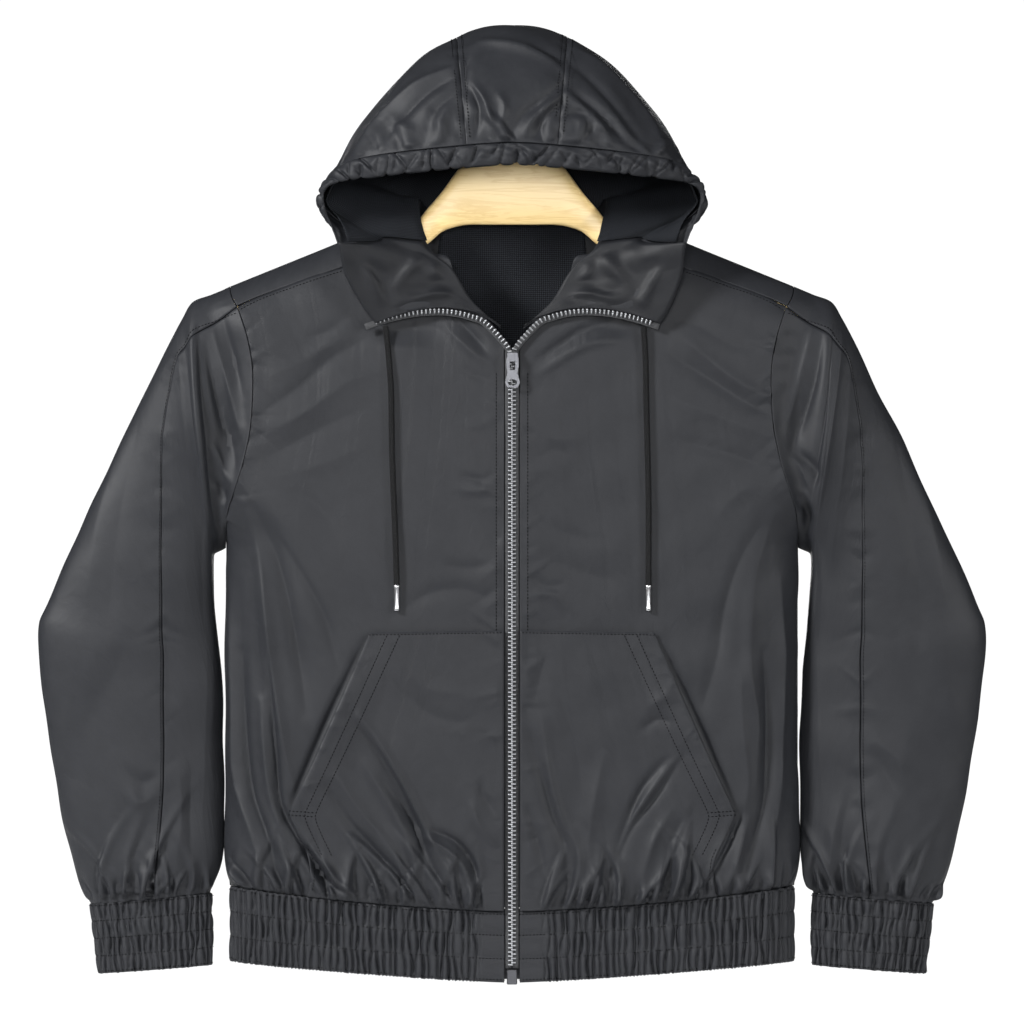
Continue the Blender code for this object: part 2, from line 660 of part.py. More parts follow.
def rim_share(arch, width):
    """The down value that lies a width in from the rim, for each arch."""
    down = np.linspace(0, 0.6, 121)
    points = hood_surface(np.asarray(arch)[:, None], down[None])
    steps = np.linalg.norm(np.diff(points, axis=1), axis=2)
    length = np.concatenate([np.zeros((len(arch), 1)), np.cumsum(steps, axis=1)], axis=1)
    return np.array([np.interp(width, row, down) for row in length])


def hood_grid(arch, start, end, count):
    """Points and outward normals between two down values for each arch."""
    share = np.linspace(0, 1, count)
    down = start[:, None] + (end - start)[:, None] * share[None]
    points, normals = surface_grid(hood_surface, arch[:, None] + 0 * down, down)
    return points, normals


def hood_piece(name, arch, depth, thickness, finish, count, start_width, end=0.985):
    """One panel of the hood; depth is how far it lies inside the shell."""
    start = rim_share(arch, start_width)
    points, normals = hood_grid(arch, start, np.full(len(arch), end), count)
    outer = points - depth * normals
    return wall(name, outer, outer - thickness * normals, finish)


def build_hood(shell, mesh):
    seam_gap = 0.02
    panels = (
        ("right", 0.0, HOOD_SEAM - seam_gap, 19),
        ("centre", HOOD_SEAM + seam_gap, 2 * HOOD_MIDDLE - HOOD_SEAM - seam_gap, 7),
        ("left", 2 * HOOD_MIDDLE - HOOD_SEAM + seam_gap, 2 * HOOD_MIDDLE, 19),
    )
    for word, start, end, count in panels:
        arch = np.linspace(start, end, count)
        hood_piece("hood_" + word, arch, 0.0, CLOTH, shell, 9, BRIM_WIDTH + 2.0, 1.0)
        lined = np.clip(arch, FACING_END + 0.02, 2 * HOOD_MIDDLE - FACING_END - 0.02)
        lined = np.linspace(lined[0], lined[-1], 5 if word == "centre" else 13)
        hood_piece("hood_lining_" + word, lined, CLOTH + 6 * LAYER, LINING, mesh, 8, BRIM_WIDTH + 2.0, 0.96)
    for word, start, end in (("right", 0.0, FACING_END - 0.02),
                             ("left", 2 * HOOD_MIDDLE - FACING_END + 0.02, 2 * HOOD_MIDDLE)):
        hood_piece("collar_facing_" + word, np.linspace(start, end, 8), CLOTH + 2 * LAYER, LINING,
                   shell, 9, BRIM_WIDTH + 1.5, 0.985)
    build_brim("hood_brim", shell)


def build_brim(name, finish):
    gathered = np.linspace(5.0, 2 * HOOD_MIDDLE - 5.0, 2 * BRIM_GATHERS + 1)
    plain = np.linspace(0.0, 5.0, 14)[:-1]
    arch = np.concatenate([plain, gathered, 2 * HOOD_MIDDLE - plain[::-1]])
    ripple = np.zeros(len(arch))
    ripple[len(plain):-len(plain)] = -zigzag(len(gathered))
    end = rim_share(arch, BRIM_WIDTH)
    points, normals = hood_grid(arch, 0 * end, end, 4)
    puff = np.array([0.0, 1.0, 1.0, 0.0])[None, :, None]
    outer = points + normals * puff * (BRIM_PUFF[0] + BRIM_PUFF[1] * ripple)[:, None, None]
    inner = (points - CLOTH * normals).transpose(1, 0, 2)
    return wall(name, outer.transpose(1, 0, 2), inner[[0, -1]], finish)


# ------------------------------------------------------ pieces on the body
def laid_on_front(x, z, lift):
    """Points of the front moved outward; lift is the distance from it."""
    points, normals = body_point(x, z, False)
    return points + normals * lift


def build_pocket(side, name, finish):
    """Patch from the zip to the slanted hand opening, hem seam to top seam."""
    up = np.linspace(0, 1, 11)
    edge = path_points(POCKET_EDGE, len(up))
    across = np.linspace(0, 1, 9)
    start = ZIP_EDGE + 0.6
    x = start + (edge[:, 0] - start)[:, None] * across[None]
    low = hem_top_z(x) + SEAM
    top = POCKET_TOP_Z + (edge[-1, 1] - POCKET_TOP_Z) * across[None]
    z = low + (top - low) * ((edge[:, 1] - edge[0, 1]) / (edge[-1, 1] - edge[0, 1]))[:, None]
    outer = laid_on_front(x, z, LAYER + CLOTH)
    inner = laid_on_front(x, z, LAYER)
    return wall(name, mirrored(outer, side), mirrored(inner, side), finish)


def build_back_lining(name, finish):
    """Mesh inside the back, seen through the open neck."""
    across = np.linspace(-1, 1, 11)
    down = np.linspace(0, 1, 8)
    top_x = 50.0 * across
    top = crest_z(top_x) - along(BACK_NECK, np.abs(top_x)) - 12.0
    z = top[None] + (BACK_LINING_END_Z - top)[None] * down[:, None]
    x = top_x[None] * (1.0 + 0.45 * down[:, None])
    points, normals = body_point(x, z, True)
    outer = points - normals * (CLOTH + 3 * LAYER)
    return wall(name, outer, outer - normals * LINING, finish)


def sweep(name, path, side_vectors, half_width, half_depth, finish, corner=0.55):
    """A rounded bar along a path; side_vectors give its width direction."""
    path = np.asarray(path, dtype=float)
    tangent = unit(np.gradient(path, axis=0))
    across = unit(side_vectors - tangent * np.sum(side_vectors * tangent, axis=1, keepdims=True))
    up = np.cross(tangent, across)
    profile = [(-1, -corner), (-corner, -1), (corner, -1), (1, -corner),
               (1, corner), (corner, 1), (-corner, 1), (-1, corner)]
    points, faces, count = [], [], len(profile)
    half_width = np.broadcast_to(half_width, len(path))
    half_depth = np.broadcast_to(half_depth, len(path))
    for i, here in enumerate(path):
        for a, b in profile:
            points.append(here + across[i] * a * half_width[i] + up[i] * b * half_depth[i])
    for i in range(len(path) - 1):
        for j in range(count):
            a, b = i * count + j, i * count + (j + 1) % count
            faces.append((a, b, b + count, a + count))
    faces.append(tuple(reversed(range(count))))
    faces.append(tuple(range((len(path) - 1) * count, len(path) * count)))
    return add_mesh(name, points, faces, finish)


def build_zip(side, name, finish):
    """Tape and teeth: up the front, then along the turned-out collar."""
    low = np.linspace(ZIP_END_Z, SLIDER_TOP_Z - 22.0, 9)
    front = np.stack([0 * low + ZIP_CENTRE, -body_depth(ZIP_CENTRE, low, False) + ZIP_HALF_DEPTH, low], 1)
    down = np.linspace(0.90, 0.0, 8)
    edge = hood_surface(2 * HOOD_MIDDLE, down)
    below = unit(np.gradient(edge, axis=0))
    outward = unit(np.stack([below[:, 2], 0 * down, -below[:, 0]], 1))
    collar = edge + outward * (ZIP_HALF_WIDTH + 0.9)
    meet = np.array([[ZIP_CENTRE, -37.2, SLIDER_TOP_Z - 6.0], [ZIP_CENTRE + 1.2, -37.6, SLIDER_TOP_Z + 4.0]])
    path = path_points(np.concatenate([front, meet, collar]), 22)
    flat = unit(np.gradient(path, axis=0))
    sides = np.stack([flat[:, 2], 0 * flat[:, 0], -flat[:, 0]], 1)
    return sweep(name, mirrored(path, side), mirrored(sides, side), ZIP_HALF_WIDTH, ZIP_HALF_DEPTH, finish)


def box(name, low, high, finish, round_off=0.0):
    """A box between two corners, with its edges cut back."""
    low, high = np.array(low, float), np.array(high, float)
    body = bmesh.new()
    bmesh.ops.create_cube(body, size=1.0)
    middle = (low + high) / 2.0
    for vert in body.verts:
        vert.co = [middle[i] + vert.co[i] * (high[i] - low[i]) for i in range(3)]
    if round_off:
        bmesh.ops.bevel(body, geom=body.edges[:], offset=round_off, segments=1, affect="EDGES")
    body.verts.index_update()
    points = [tuple(v.co) for v in body.verts]
    faces = [tuple(v.index for v in face.verts) for face in body.faces]
    body.free()
    return add_mesh(name, points, faces, finish)


# ------------------------------------------------- hanger, hook and trim
def build_hanger(name, finish):
    half = np.array(HANGER)
    half[:, 1] = np.where(np.abs(half[:, 0] - 180.0) < 50.0, crest_z(half[:, 0]) - CLOTH - HANGER_GAP, half[:, 1])
    other = half[:0:-1].copy()
    other[:, 0] *= -1.0
    rows = np.concatenate([other, half])
    path = np.stack([rows[:, 0], 0 * rows[:, 0], (rows[:, 1] + rows[:, 2]) / 2], 1)
    profile = [(-1, -0.5), (-0.6, -1), (0.6, -1), (1, -0.5), (1, 0.35),
               (0.62, 0.8), (0.2, 1), (-0.2, 1), (-0.62, 0.8), (-1, 0.35)]
    count = len(profile)
    points, faces = [], []
    for (x, top, bottom, thick), here in zip(rows, path):
        points += [(x, a * thick, here[2] + b * (top - bottom) / 2) for a, b in profile]
    for i in range(len(rows) - 1):
        for j in range(count):
            a, b = i * count + j, i * count + (j + 1) % count
            faces.append((a, b, b + count, a + count))
    faces.append(tuple(reversed(range(count))))
    faces.append(tuple(range((len(rows) - 1) * count, len(rows) * count)))
    return add_mesh(name, points, faces, finish)


def tube(name, path, radius, finish, sides=2):
    """A round wire or cord along a list of points."""
    curve = bpy.data.curves.new(name, "CURVE")
    curve.dimensions = "3D"
    curve.bevel_depth = radius * MM
    curve.bevel_resolution = sides
    curve.use_fill_caps = True
    line = curve.splines.new("POLY")
    line.points.add(len(path) - 1)
    for knot, place in zip(line.points, path):
        knot.co = (*(v * MM for v in place), 1.0)
    curve.materials.append(finish)
    placed = bpy.data.objects.new(name, curve)
    bpy.context.scene.collection.objects.link(placed)
    return placed


def build_hook(name, finish):
    turn = np.radians(np.linspace(-62, 205, 23))
    ring = HOOK_RADIUS
    centre_z = -(ring - HOOK_WIRE)
    loop = np.stack([ring * np.cos(turn), 0 * turn, centre_z + ring * np.sin(turn)], 1)
    stem = np.array([[0, 0, HANGER[0][1] + 0.4], [0, 0, -54.0], [0.6, 0, -46.0], [2.8, 0, -38.5]])
    route = path_points(np.concatenate([stem, loop]), 30)
    return tube(name, route, HOOK_WIRE, finish)


def build_cord(side, name, finish):
    knots = np.array(CORD_ROUTE_RIGHT if side < 0 else CORD_ROUTE_LEFT)
    points, _ = body_point(knots[:, 0], knots[:, 1], False)
    points[:, 1] -= CORD_RADIUS + knots[:, 2]
    return tube(name, mirrored(path_points(points, 19), side), CORD_RADIUS, finish)


def build_aglet(side, name, finish):
    x, z, clear = (CORD_ROUTE_RIGHT if side < 0 else CORD_ROUTE_LEFT)[-1]
    middle, _ = body_point(x, z, False)
    share, radius = column(AGLET_RADII, 0), column(AGLET_RADII, 1)
    path = np.stack([x + 0 * share, middle[1] - CORD_RADIUS - clear + 0 * share,
                     z - AGLET_GAP - AGLET_LENGTH * share], 1)
    across = np.tile([1.0, 0.0, 0.0], (len(path), 1))
    return sweep(name, mirrored(path, side), across, radius, radius, finish, 0.414)


def joined(target, tool, operation):
    """Keep a Boolean on the target; the tool is only a guide."""
    tool.hide_render = True
    tool.display_type = "WIRE"
    change = target.modifiers.new(tool.name, "BOOLEAN")
    change.operation = operation
    change.object = tool
    return change


def build_slider(name, finish):
    """Front plate of the slider with the loop that carries the pull tab."""
    x, y, z = PULL_AXIS
    plate = box(name, (x - 5.0, SLIDER_BACK_Y - 2.0, z - 3.4), (x + 5.0, SLIDER_BACK_Y, z + 5.6), finish, 0.6)
    loop = box("cut_loop", (x - 1.3, y - 2.8, z - 2.6), (x + 1.3, SLIDER_BACK_Y - 1.0, z + 4.8), finish)
    hole = box("cut_loop_hole", (x - 3.0, y - 1.4, z - 1.4), (x + 3.0, y + 1.4, z + 3.4), finish)
    joined(plate, loop, "UNION")
    joined(plate, hole, "DIFFERENCE")
    return plate


def build_pull_tab(name, finish):
    """Two arms on a cross bar, a waist, and a wide end with an oval hole."""
    x, y, z = PULL_AXIS
    rows = np.array(PULL_OUTLINE)
    drop = path_points(rows, 12)
    outline = [(x + w, z - d) for w, d in drop] + [(x - w, z - d) for w, d in drop[::-1]]
    count = len(outline)
    points = [(px, y + dy, pz) for dy in (-0.8, 0.8) for px, pz in outline]
    faces = [tuple(range(count)), tuple(reversed(range(count, 2 * count)))]
    faces += [((j + 1) % count, j, count + j, count + (j + 1) % count) for j in range(count)]
    tab = add_mesh(name, points, faces, finish, PULL_AXIS)
    slot = box("cut_slot", (x - 2.4, y - 3, z - 10.0), (x + 2.4, y + 3, z - 0.8), finish)
    turn = np.radians(np.arange(0, 360, 30))
    ring = [(x + 4.0 * math.cos(a), z - 20.6 + 2.9 * math.sin(a)) for a in turn]
    high = [(px, y + dy, pz) for dy in (-3, 3) for px, pz in ring]
    sides = len(ring)
    caps = [tuple(range(sides)), tuple(reversed(range(sides, 2 * sides)))]
    caps += [((j + 1) % sides, j, sides + j, sides + (j + 1) % sides) for j in range(sides)]
    oval = add_mesh("cut_oval", high, caps, finish)
    joined(tab, slot, "DIFFERENCE")
    joined(tab, oval, "DIFFERENCE")
    return tab


def main():
    for old in list(bpy.data.objects):
        bpy.data.objects.remove(old, do_unlink=True)
    shell = material("shell_cloth", (0.060, 0.062, 0.068), 0.55)
    mesh = material("mesh_lining", (0.014, 0.015, 0.018), 0.8)
    for side, word in ((-1, "right"), (1, "left")):
        build_front(side, "front_" + word, shell)
        build_sleeve(side, "sleeve_front_" + word, shell, False)
        build_sleeve(side, "sleeve_back_" + word, shell, True)
        build_cuff(side, "cuff_" + word, shell)
        build_hem_front(side, "hem_front_" + word, shell)
    build_back("back", shell)
    build_hem_back("hem_back", shell)
    build_hood(shell, mesh)
    build_back_lining("back_lining", mesh)
    braid = material("cord_braid", (0.02, 0.02, 0.022), 0.8)
    metal = material("dark_metal", (0.10, 0.10, 0.11), 0.35, 1.0)
    wood = material("pale_wood", (0.84, 0.67, 0.36), 0.5)
    steel = material("bright_steel", (0.6, 0.6, 0.6), 0.25, 1.0)
    tape = material("zip_tape", (0.02, 0.02, 0.022), 0.7)
    for side, word in ((-1, "right"), (1, "left")):
        build_pocket(side, "pocket_" + word, shell)
        build_zip(side, "zip_" + word, tape)
        build_cord(side, "drawcord_" + word, braid)
        build_aglet(side, "aglet_" + word, metal)
    build_slider("zip_slider", metal)
    build_pull_tab("zip_pull_tab", metal)
    box("zip_box", *ZIP_BOX, metal, 0.8)
    build_hanger("hanger", wood)
    build_hook("hanger_hook", steel)


main()
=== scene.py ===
"""Looks of a hooded windbreaker jacket hung on a wooden hanger.

Sizes are in millimetres in the frame of the solids (+Z up, front facing -Y,
origin at the inner crown of the hook) and become metres where a mesh is made.
"right" and "left" are the wearer's; right is toward -X.
"""
import math

import bpy
import numpy as np
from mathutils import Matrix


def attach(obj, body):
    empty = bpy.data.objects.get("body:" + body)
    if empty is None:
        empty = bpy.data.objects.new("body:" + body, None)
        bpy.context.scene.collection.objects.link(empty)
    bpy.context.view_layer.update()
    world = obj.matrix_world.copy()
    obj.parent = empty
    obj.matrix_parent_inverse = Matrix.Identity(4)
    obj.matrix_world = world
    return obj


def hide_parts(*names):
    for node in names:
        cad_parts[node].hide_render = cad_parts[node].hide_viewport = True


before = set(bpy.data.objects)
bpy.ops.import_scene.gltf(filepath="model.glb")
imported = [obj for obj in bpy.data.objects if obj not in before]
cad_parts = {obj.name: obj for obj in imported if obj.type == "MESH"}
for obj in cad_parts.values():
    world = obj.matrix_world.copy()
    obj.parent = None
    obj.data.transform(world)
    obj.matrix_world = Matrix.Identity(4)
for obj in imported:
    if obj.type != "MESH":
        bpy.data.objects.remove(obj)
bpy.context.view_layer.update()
MM = 0.001
scene = bpy.context.scene

# ---------------------------------------------------------------- camera
VIEW_CENTRE = (0.0, -380.1)        # x and z that the camera looks at
VIEW_WIDTH = 880.6                 # millimetres across the view at the fronts
VIEW_DISTANCE = 8000.0
FRONTS_DEPTH = 6.0                 # how far before the origin that width is true
SENSOR_WIDTH = 36.0
FAR_LIMIT = 50.0                   # metres


def place_camera():
    data = bpy.data.cameras.new("camera")
    data.sensor_width = SENSOR_WIDTH
    data.sensor_fit = "HORIZONTAL"
    data.lens = SENSOR_WIDTH * (VIEW_DISTANCE - FRONTS_DEPTH) / VIEW_WIDTH
    data.clip_end = FAR_LIMIT
    camera = bpy.data.objects.new("camera", data)
    camera.location = (VIEW_CENTRE[0] * MM, -VIEW_DISTANCE * MM, VIEW_CENTRE[1] * MM)
    camera.rotation_euler = (math.radians(90), 0, 0)
    scene.collection.objects.link(camera)
    scene.camera = camera


place_camera()

# ----------------------------------------------------------------- sizes
SIDES = ((-1, "right"), (1, "left"))
CLOTH = 0.9                        # thickness of the shell cloth
LINING = 0.8                       # thickness of the mesh and the facings
SEAM = 0.5                         # gap between two pieces along a seam
LAYER = 0.5                        # gap between a patch and the cloth under it
ARMHOLE_GAP = 0.5
EDGE_INSET = 0.05                  # keeps an edge clear of the very side
BODY_HALF_WIDTH = 246.0
SIDE_ROUND = 62.0                  # how far in from the side the body rounds off
TOP_ROUND = 46.0                   # how far below the shoulder crest it does so
ARMPIT_Z = -411.0
ZIP_EDGE = 6.6                     # from the middle to the edge of a front
HEM_MIDDLE_TOP, HEM_MIDDLE_BOTTOM = -722.5, -783.5
HEM_SIDE_RISE_TOP, HEM_SIDE_RISE_BOTTOM = 20.7, 17.5
HEM_SIDE_X = 242.5
HEM_CORNER = (242.0, -705.0)       # x of the band's top corner, z of the side there
BAND_MIDDLE_Z = -745.0

BODY_DEPTH = (
    # z, front, back
    (-110, 24, 24), (-190, 29, 26), (-260, 36, 31), (-411, 42, 35),
    (-600, 42, 35), (-703, 38, 32), (-785, 35, 30),
)
SHOULDER_CREST = (
    # x, z
    (0, -92), (40, -100), (72, -114), (143.6, -146), (242.5, -186), (275, -199.5), (330, -235),
)
FRONT_NECK = (
    # x, z
    (6.6, -237), (12, -225), (36, -199), (50, -174), (63, -159), (84, -148),
)
BACK_NECK = (
    # x, drop behind the crest
    (0, 42), (32, 36), (62, 24), (80, 10), (86, 1),
)
SHOULDER_SEAM = (
    # x, z
    (84, -148), (140, -168), (208, -191.5), (235.6, -204),
)
ARMHOLE_BOW = (
    # share of the way up, bow
    (0.0, 0.0), (0.15, 1.5), (0.24, 9.0), (0.34, 15.3), (0.45, 20.3),
    (0.58, 21.8), (0.70, 21.3), (0.81, 16.0), (0.92, 7.5), (1.0, 0.0),
)
ARMHOLE_TOP = (242.5, -186.0)
ARMHOLE_BOTTOM = (246.0, -411.0)
SLEEVE_RINGS = (
    # outer x, z, inner x, z, front, back, seam share, blend, bow, step
    (242.5, -186.0, 246.0, -411.0, 30, 26, 0.92, 0.00, 1.00, 0.0),
    (259.0, -193.0, 252.0, -413.5, 31, 26, 0.89, 0.40, 0.50, 7.0),
    (275.0, -199.5, 256.3, -416.0, 33, 27, 0.87, 0.85, 0.00, -6.0),
    (284.0, -214.0, 257.0, -421.5, 33, 27, 0.88, 1.00, 0.00, -6.0),
    (293.3, -232.0, 257.0, -428.0, 32, 27, 0.89, 1.00, 0.00, -4.0),
    (311.0, -267.0, 256.5, -441.0, 30, 26, 0.77, 1.00, 0.00, -1.0),
    (336.0, -318.0, 255.6, -458.0, 28, 25, 0.56, 1.00, 0.00, 0.0),
    (368.0, -387.0, 253.6, -480.0, 27, 24, 0.41, 1.00, 0.00, 0.0),
    (399.0, -456.0, 251.0, -505.0, 26, 23, 0.33, 1.00, 0.00, 0.0),
    (408.0, -482.0, 249.6, -520.0, 26, 23, 0.31, 1.00, 0.00, 0.0),
    (405.0, -527.0, 248.2, -548.0, 25, 22, 0.325, 1.00, 0.00, 0.0),
    (398.0, -577.0, 247.6, -590.0, 24, 22, 0.34, 1.00, 0.00, 0.0),
    (389.6, -628.0, 247.6, -634.0, 24, 22, 0.37, 1.00, 0.00, 0.0),
    (378.4, -679.0, 249.0, -678.0, 24, 22, 0.43, 1.00, 0.00, 0.0),
    (369.0, -708.0, 255.0, -700.0, 22, 20, 0.46, 1.00, 0.00, 0.0),
    (363.0, -716.0, 258.0, -706.5, 20, 18, 0.46, 1.00, 0.00, 0.0),
)
HOOD_ARCHES = (
    # rim x, y, z, widest x, y, z, neck x, y, z
    (117.5, -39.0, -214.6, 56.0, -37.0, -204.0, 10.0, -35.6, -223.5),
    (131.0, -43.0, -198.0, 76.0, -37.0, -193.0, 22.0, -34.6, -212.0),
    (143.5, -48.0, -176.0, 92.0, -37.0, -178.0, 36.0, -33.0, -197.0),
    (149.0, -54.0, -152.0, 103.0, -38.0, -158.0, 51.0, -31.0, -172.0),
    (158.0, -60.0, -125.0, 160.0, -36.0, -122.0, 73.0, -28.6, -151.0),
    (160.0, -65.0, -107.0, 160.5, -28.0, -103.0, 80.5, -4.0, -116.0),
    (146.0, -71.0, -98.0, 148.0, -22.0, -80.0, 69.0, 18.5, -128.0),
    (112.0, -84.0, -93.0, 122.0, -19.0, -38.0, 44.0, 23.0, -131.8),
    (58.0, -94.0, -87.5, 72.0, -20.0, 14.5, 22.0, 24.4, -132.6),
    (0.0, -98.0, -83.5, 0.0, -20.0, 38.7, 0.0, 24.6, -132.6),
)
HOOD_MIDDLE = 9.0                  # arches are counted from the right zip edge
HOOD_END = 2 * HOOD_MIDDLE
HOOD_SEAM = 8.36
FACING_END = 3.1
FACING_RISE = 0.92
BRIM_WIDTH = 17.5
HOOD_BULGE = 10.0
MESH_INSET = 4.4
POCKET_TOP_Z = -481.5
POCKET_START = ZIP_EDGE + 0.6
POCKET_EDGE = (
    # x, z of the slanted hand opening, hem to top
    (176.0, -709.0), (172.5, -694.0), (174.0, -676.0), (184.0, -656.0), (190.0, -642.0),
    (188.5, -633.0), (172.0, -596.0), (155.5, -559.0), (138.5, -520.5), (122.0, -483.5),
)
CUFF_TOP = (363.0, -717.0, 258.0, -708.0)
CUFF_BOTTOM = (356.0, -777.0, 257.5, -769.5)
CUFF_HALF_DEPTH = 19.0
CUFF_HALF_WIDTH = 52.0
SLIDER_TOP_Z = -243.0
ZIP_CENTRE = 3.3
ZIP_END_Z = -771.0
CORD_RADIUS = 2.5
CORD_GIRTH = 15.7
CORD_ROUTES = {
    # side: distance from the middle, z, clearance from the front
    -1: ((109.0, -220.8, 1.6), (105.8, -247.7, 0.8), (103.2, -280.4, 0.8),
         (102.3, -330.2, 0.8), (100.6, -395.6, 0.8), (98.9, -442.9, 0.8)),
    1: ((112.5, -221.5, 1.6), (114.6, -247.7, 0.8), (115.4, -280.4, 0.8),
        (115.9, -330.2, 0.8), (116.5, -395.6, 0.8), (117.0, -442.9, 0.8)),
}
AGLET_LENGTH = 22.0


# --------------------------------------------------------------- drafting
def unit(vectors):
    return vectors / np.maximum(np.linalg.norm(vectors, axis=-1, keepdims=True), 1e-9)


def ease(value):
    """Soft step from 0 to 1."""
    value = np.clip(value, 0.0, 1.0)
    return value * value * (3.0 - 2.0 * value)


def rounding(distance, radius):
    """Quarter circle: 0 at no distance, 1 from the radius on."""
    share = 1.0 - np.clip(distance / radius, 0.0, 1.0)
    return np.sqrt(np.maximum(1.0 - share ** 2, 0.0))


def eased_table(table, column, softness, count=1500):
    """One column of a table as a dense curve with its corners rounded."""
    rows = np.array(sorted(table), dtype=float)
    keys, values = rows[:, 0], rows[:, column]
    reach = 4.0 * softness
    dense = np.linspace(keys[0] - reach, keys[-1] + reach, count)
    line = np.interp(dense, keys, values)
    first = (values[1] - values[0]) / (keys[1] - keys[0])
    last = (values[-1] - values[-2]) / (keys[-1] - keys[-2])
    line = np.where(dense < keys[0], values[0] + first * (dense - keys[0]), line)
    line = np.where(dense > keys[-1], values[-1] + last * (dense - keys[-1]), line)
    step = dense[1] - dense[0]
    half = int(3 * softness / step)
    weights = np.exp(-0.5 * (np.arange(-half, half + 1) * step / softness) ** 2)
    padded = np.pad(line, half, mode="reflect", reflect_type="odd")
    return dense, np.convolve(padded, weights / weights.sum(), mode="valid")


DEPTH_FRONT = eased_table(BODY_DEPTH, 1, 22.0)
DEPTH_BACK = eased_table(BODY_DEPTH, 2, 22.0)
CREST = eased_table([(-x, z) for x, z in SHOULDER_CREST[1:]] + list(SHOULDER_CREST), 1, 11.0)
HOLE_BOW = eased_table(ARMHOLE_BOW, 1, 0.03)
BACK_NECK_LINE = eased_table([(-x, d) for x, d in BACK_NECK[1:]] + list(BACK_NECK), 1, 5.0)


def read(curve, value):
    """Value of a dense curve of keys and values."""
    return np.interp(value, curve[0], curve[1])


def running_length(points):
    """Length along a line of points, up to each of them."""
    steps = np.linalg.norm(np.diff(points, axis=0), axis=1)
    return np.concatenate([[0.0], np.cumsum(steps)])


def row_lengths(points):
    """The same for every row of a grid of points."""
    steps = np.linalg.norm(np.diff(points, axis=1), axis=2)
    return np.concatenate([np.zeros((len(points), 1)), np.cumsum(steps, axis=1)], axis=1)


def at_shares(path, shares):
    """Points of a flat path at shares of its evenly spaced points."""
    even = np.linspace(0, 1, len(path))
    return np.stack([np.interp(shares, even, path[:, c]) for c in (0, 1)], 1)


def smooth_rows(rows, t):
    """Catmull-Rom reading of all columns; t counts rows, 0 to len - 1."""
    rows = np.asarray(rows, dtype=float)
    t = np.atleast_1d(np.asarray(t, dtype=float))
    last = len(rows) - 1
    i = np.clip(np.floor(t).astype(int), 0, last - 1)
    f = (t - i).reshape(t.shape + (1,))
    p0, p1 = rows[np.maximum(i - 1, 0)], rows[i]
    p2, p3 = rows[i + 1], rows[np.minimum(i + 2, last)]
    return 0.5 * (2 * p1 + (p2 - p0) * f + (2 * p0 - 5 * p1 + 4 * p2 - p3) * f ** 2
                  + (3 * p1 - p0 - 3 * p2 + p3) * f ** 3)


def path_points(points, count):
    """Evenly spaced points on a smooth curve through a few points."""
    points = np.asarray(points, dtype=float)
    fine = smooth_rows(points, np.linspace(0, len(points) - 1, 40 * len(points)))
    length = running_length(fine)
    wanted = np.linspace(0, 1, count) * length[-1]
    columns = [np.interp(wanted, length, fine[:, c]) for c in range(fine.shape[1])]
    return np.stack(columns, axis=1)


def grid_normals(points, outward):
    """Normals of a grid of points, turned to the side that outward gives."""
    along_rows = np.gradient(points, axis=0)
    along_columns = np.gradient(points, axis=1)
    normals = unit(np.cross(along_rows, along_columns))
    turn = np.sign(np.sum(normals * outward, axis=-1).mean()) or 1.0
    return normals * turn


def toward_side(count, power):
    """Shares from 0 to 1, closer together near 1."""
    return 1.0 - (1.0 - np.linspace(0, 1, count)) ** power


def mirrored(points, side):
    """A copy of points given for the left, for either side."""
    copied = np.array(points, dtype=float)
    copied[..., 0] *= side
    return copied


# ------------------------------------------------------- shapes of the parts
def crest_z(x):
    return read(CREST, x)


def side_x(z):
    """Half width of the body: drawn in at the hem, wide open above the armpit."""
    drawn_in = 4.0 * ease((-660.0 - z) / 60.0)
    return BODY_HALF_WIDTH - drawn_in + 90.0 * ease((z - ARMPIT_Z) / 120.0)


def body_depth(x, z, back):
    """How far the body stands in front of or behind its middle plane."""
    depth = read(DEPTH_BACK if back else DEPTH_FRONT, z)
    depth = depth * rounding(side_x(z) - np.abs(x), SIDE_ROUND)
    return depth * rounding(crest_z(x) - z, TOP_ROUND)


def body_place(x, z, back):
    """Point and outward normal; back is True or False, or an array of them."""
    x, z, back = np.broadcast_arrays(np.asarray(x, float), np.asarray(z, float), back)
    sign = np.where(back, 1.0, -1.0)
    step = 0.05
    inner = -np.where(x < 0, -1.0, 1.0) * step

    def depth(px, pz):
        return np.where(back, body_depth(px, pz, True), body_depth(px, pz, False))

    here = depth(x, z)
    slope_x = (depth(x + inner, z) - here) / inner
    slope_z = (here - depth(x, z - step)) / step
    normal = unit(np.stack([-slope_x, sign, -slope_z], axis=-1))
    return np.stack([x, sign * here, z], axis=-1), normal


def hem_top_z(x):
    """Height of the band's top edge, higher toward the sides."""
    return HEM_MIDDLE_TOP + HEM_SIDE_RISE_TOP * (np.abs(x) / HEM_SIDE_X) ** 1.6


def hem_bottom_z(x):
    return HEM_MIDDLE_BOTTOM + HEM_SIDE_RISE_BOTTOM * (np.abs(x) / HEM_SIDE_X) ** 1.3


def armhole(share):
    """Points of the armhole seam, share 0 at the armpit and 1 on the shoulder."""
    top, bottom = np.array(ARMHOLE_TOP), np.array(ARMHOLE_BOTTOM)
    line = bottom + np.multiply.outer(share, top - bottom)
    ends = np.minimum(1.0, 12 * np.minimum(share, 1 - share))
    line[..., 0] -= np.maximum(read(HOLE_BOW, share), 0.0) * ends
    return line


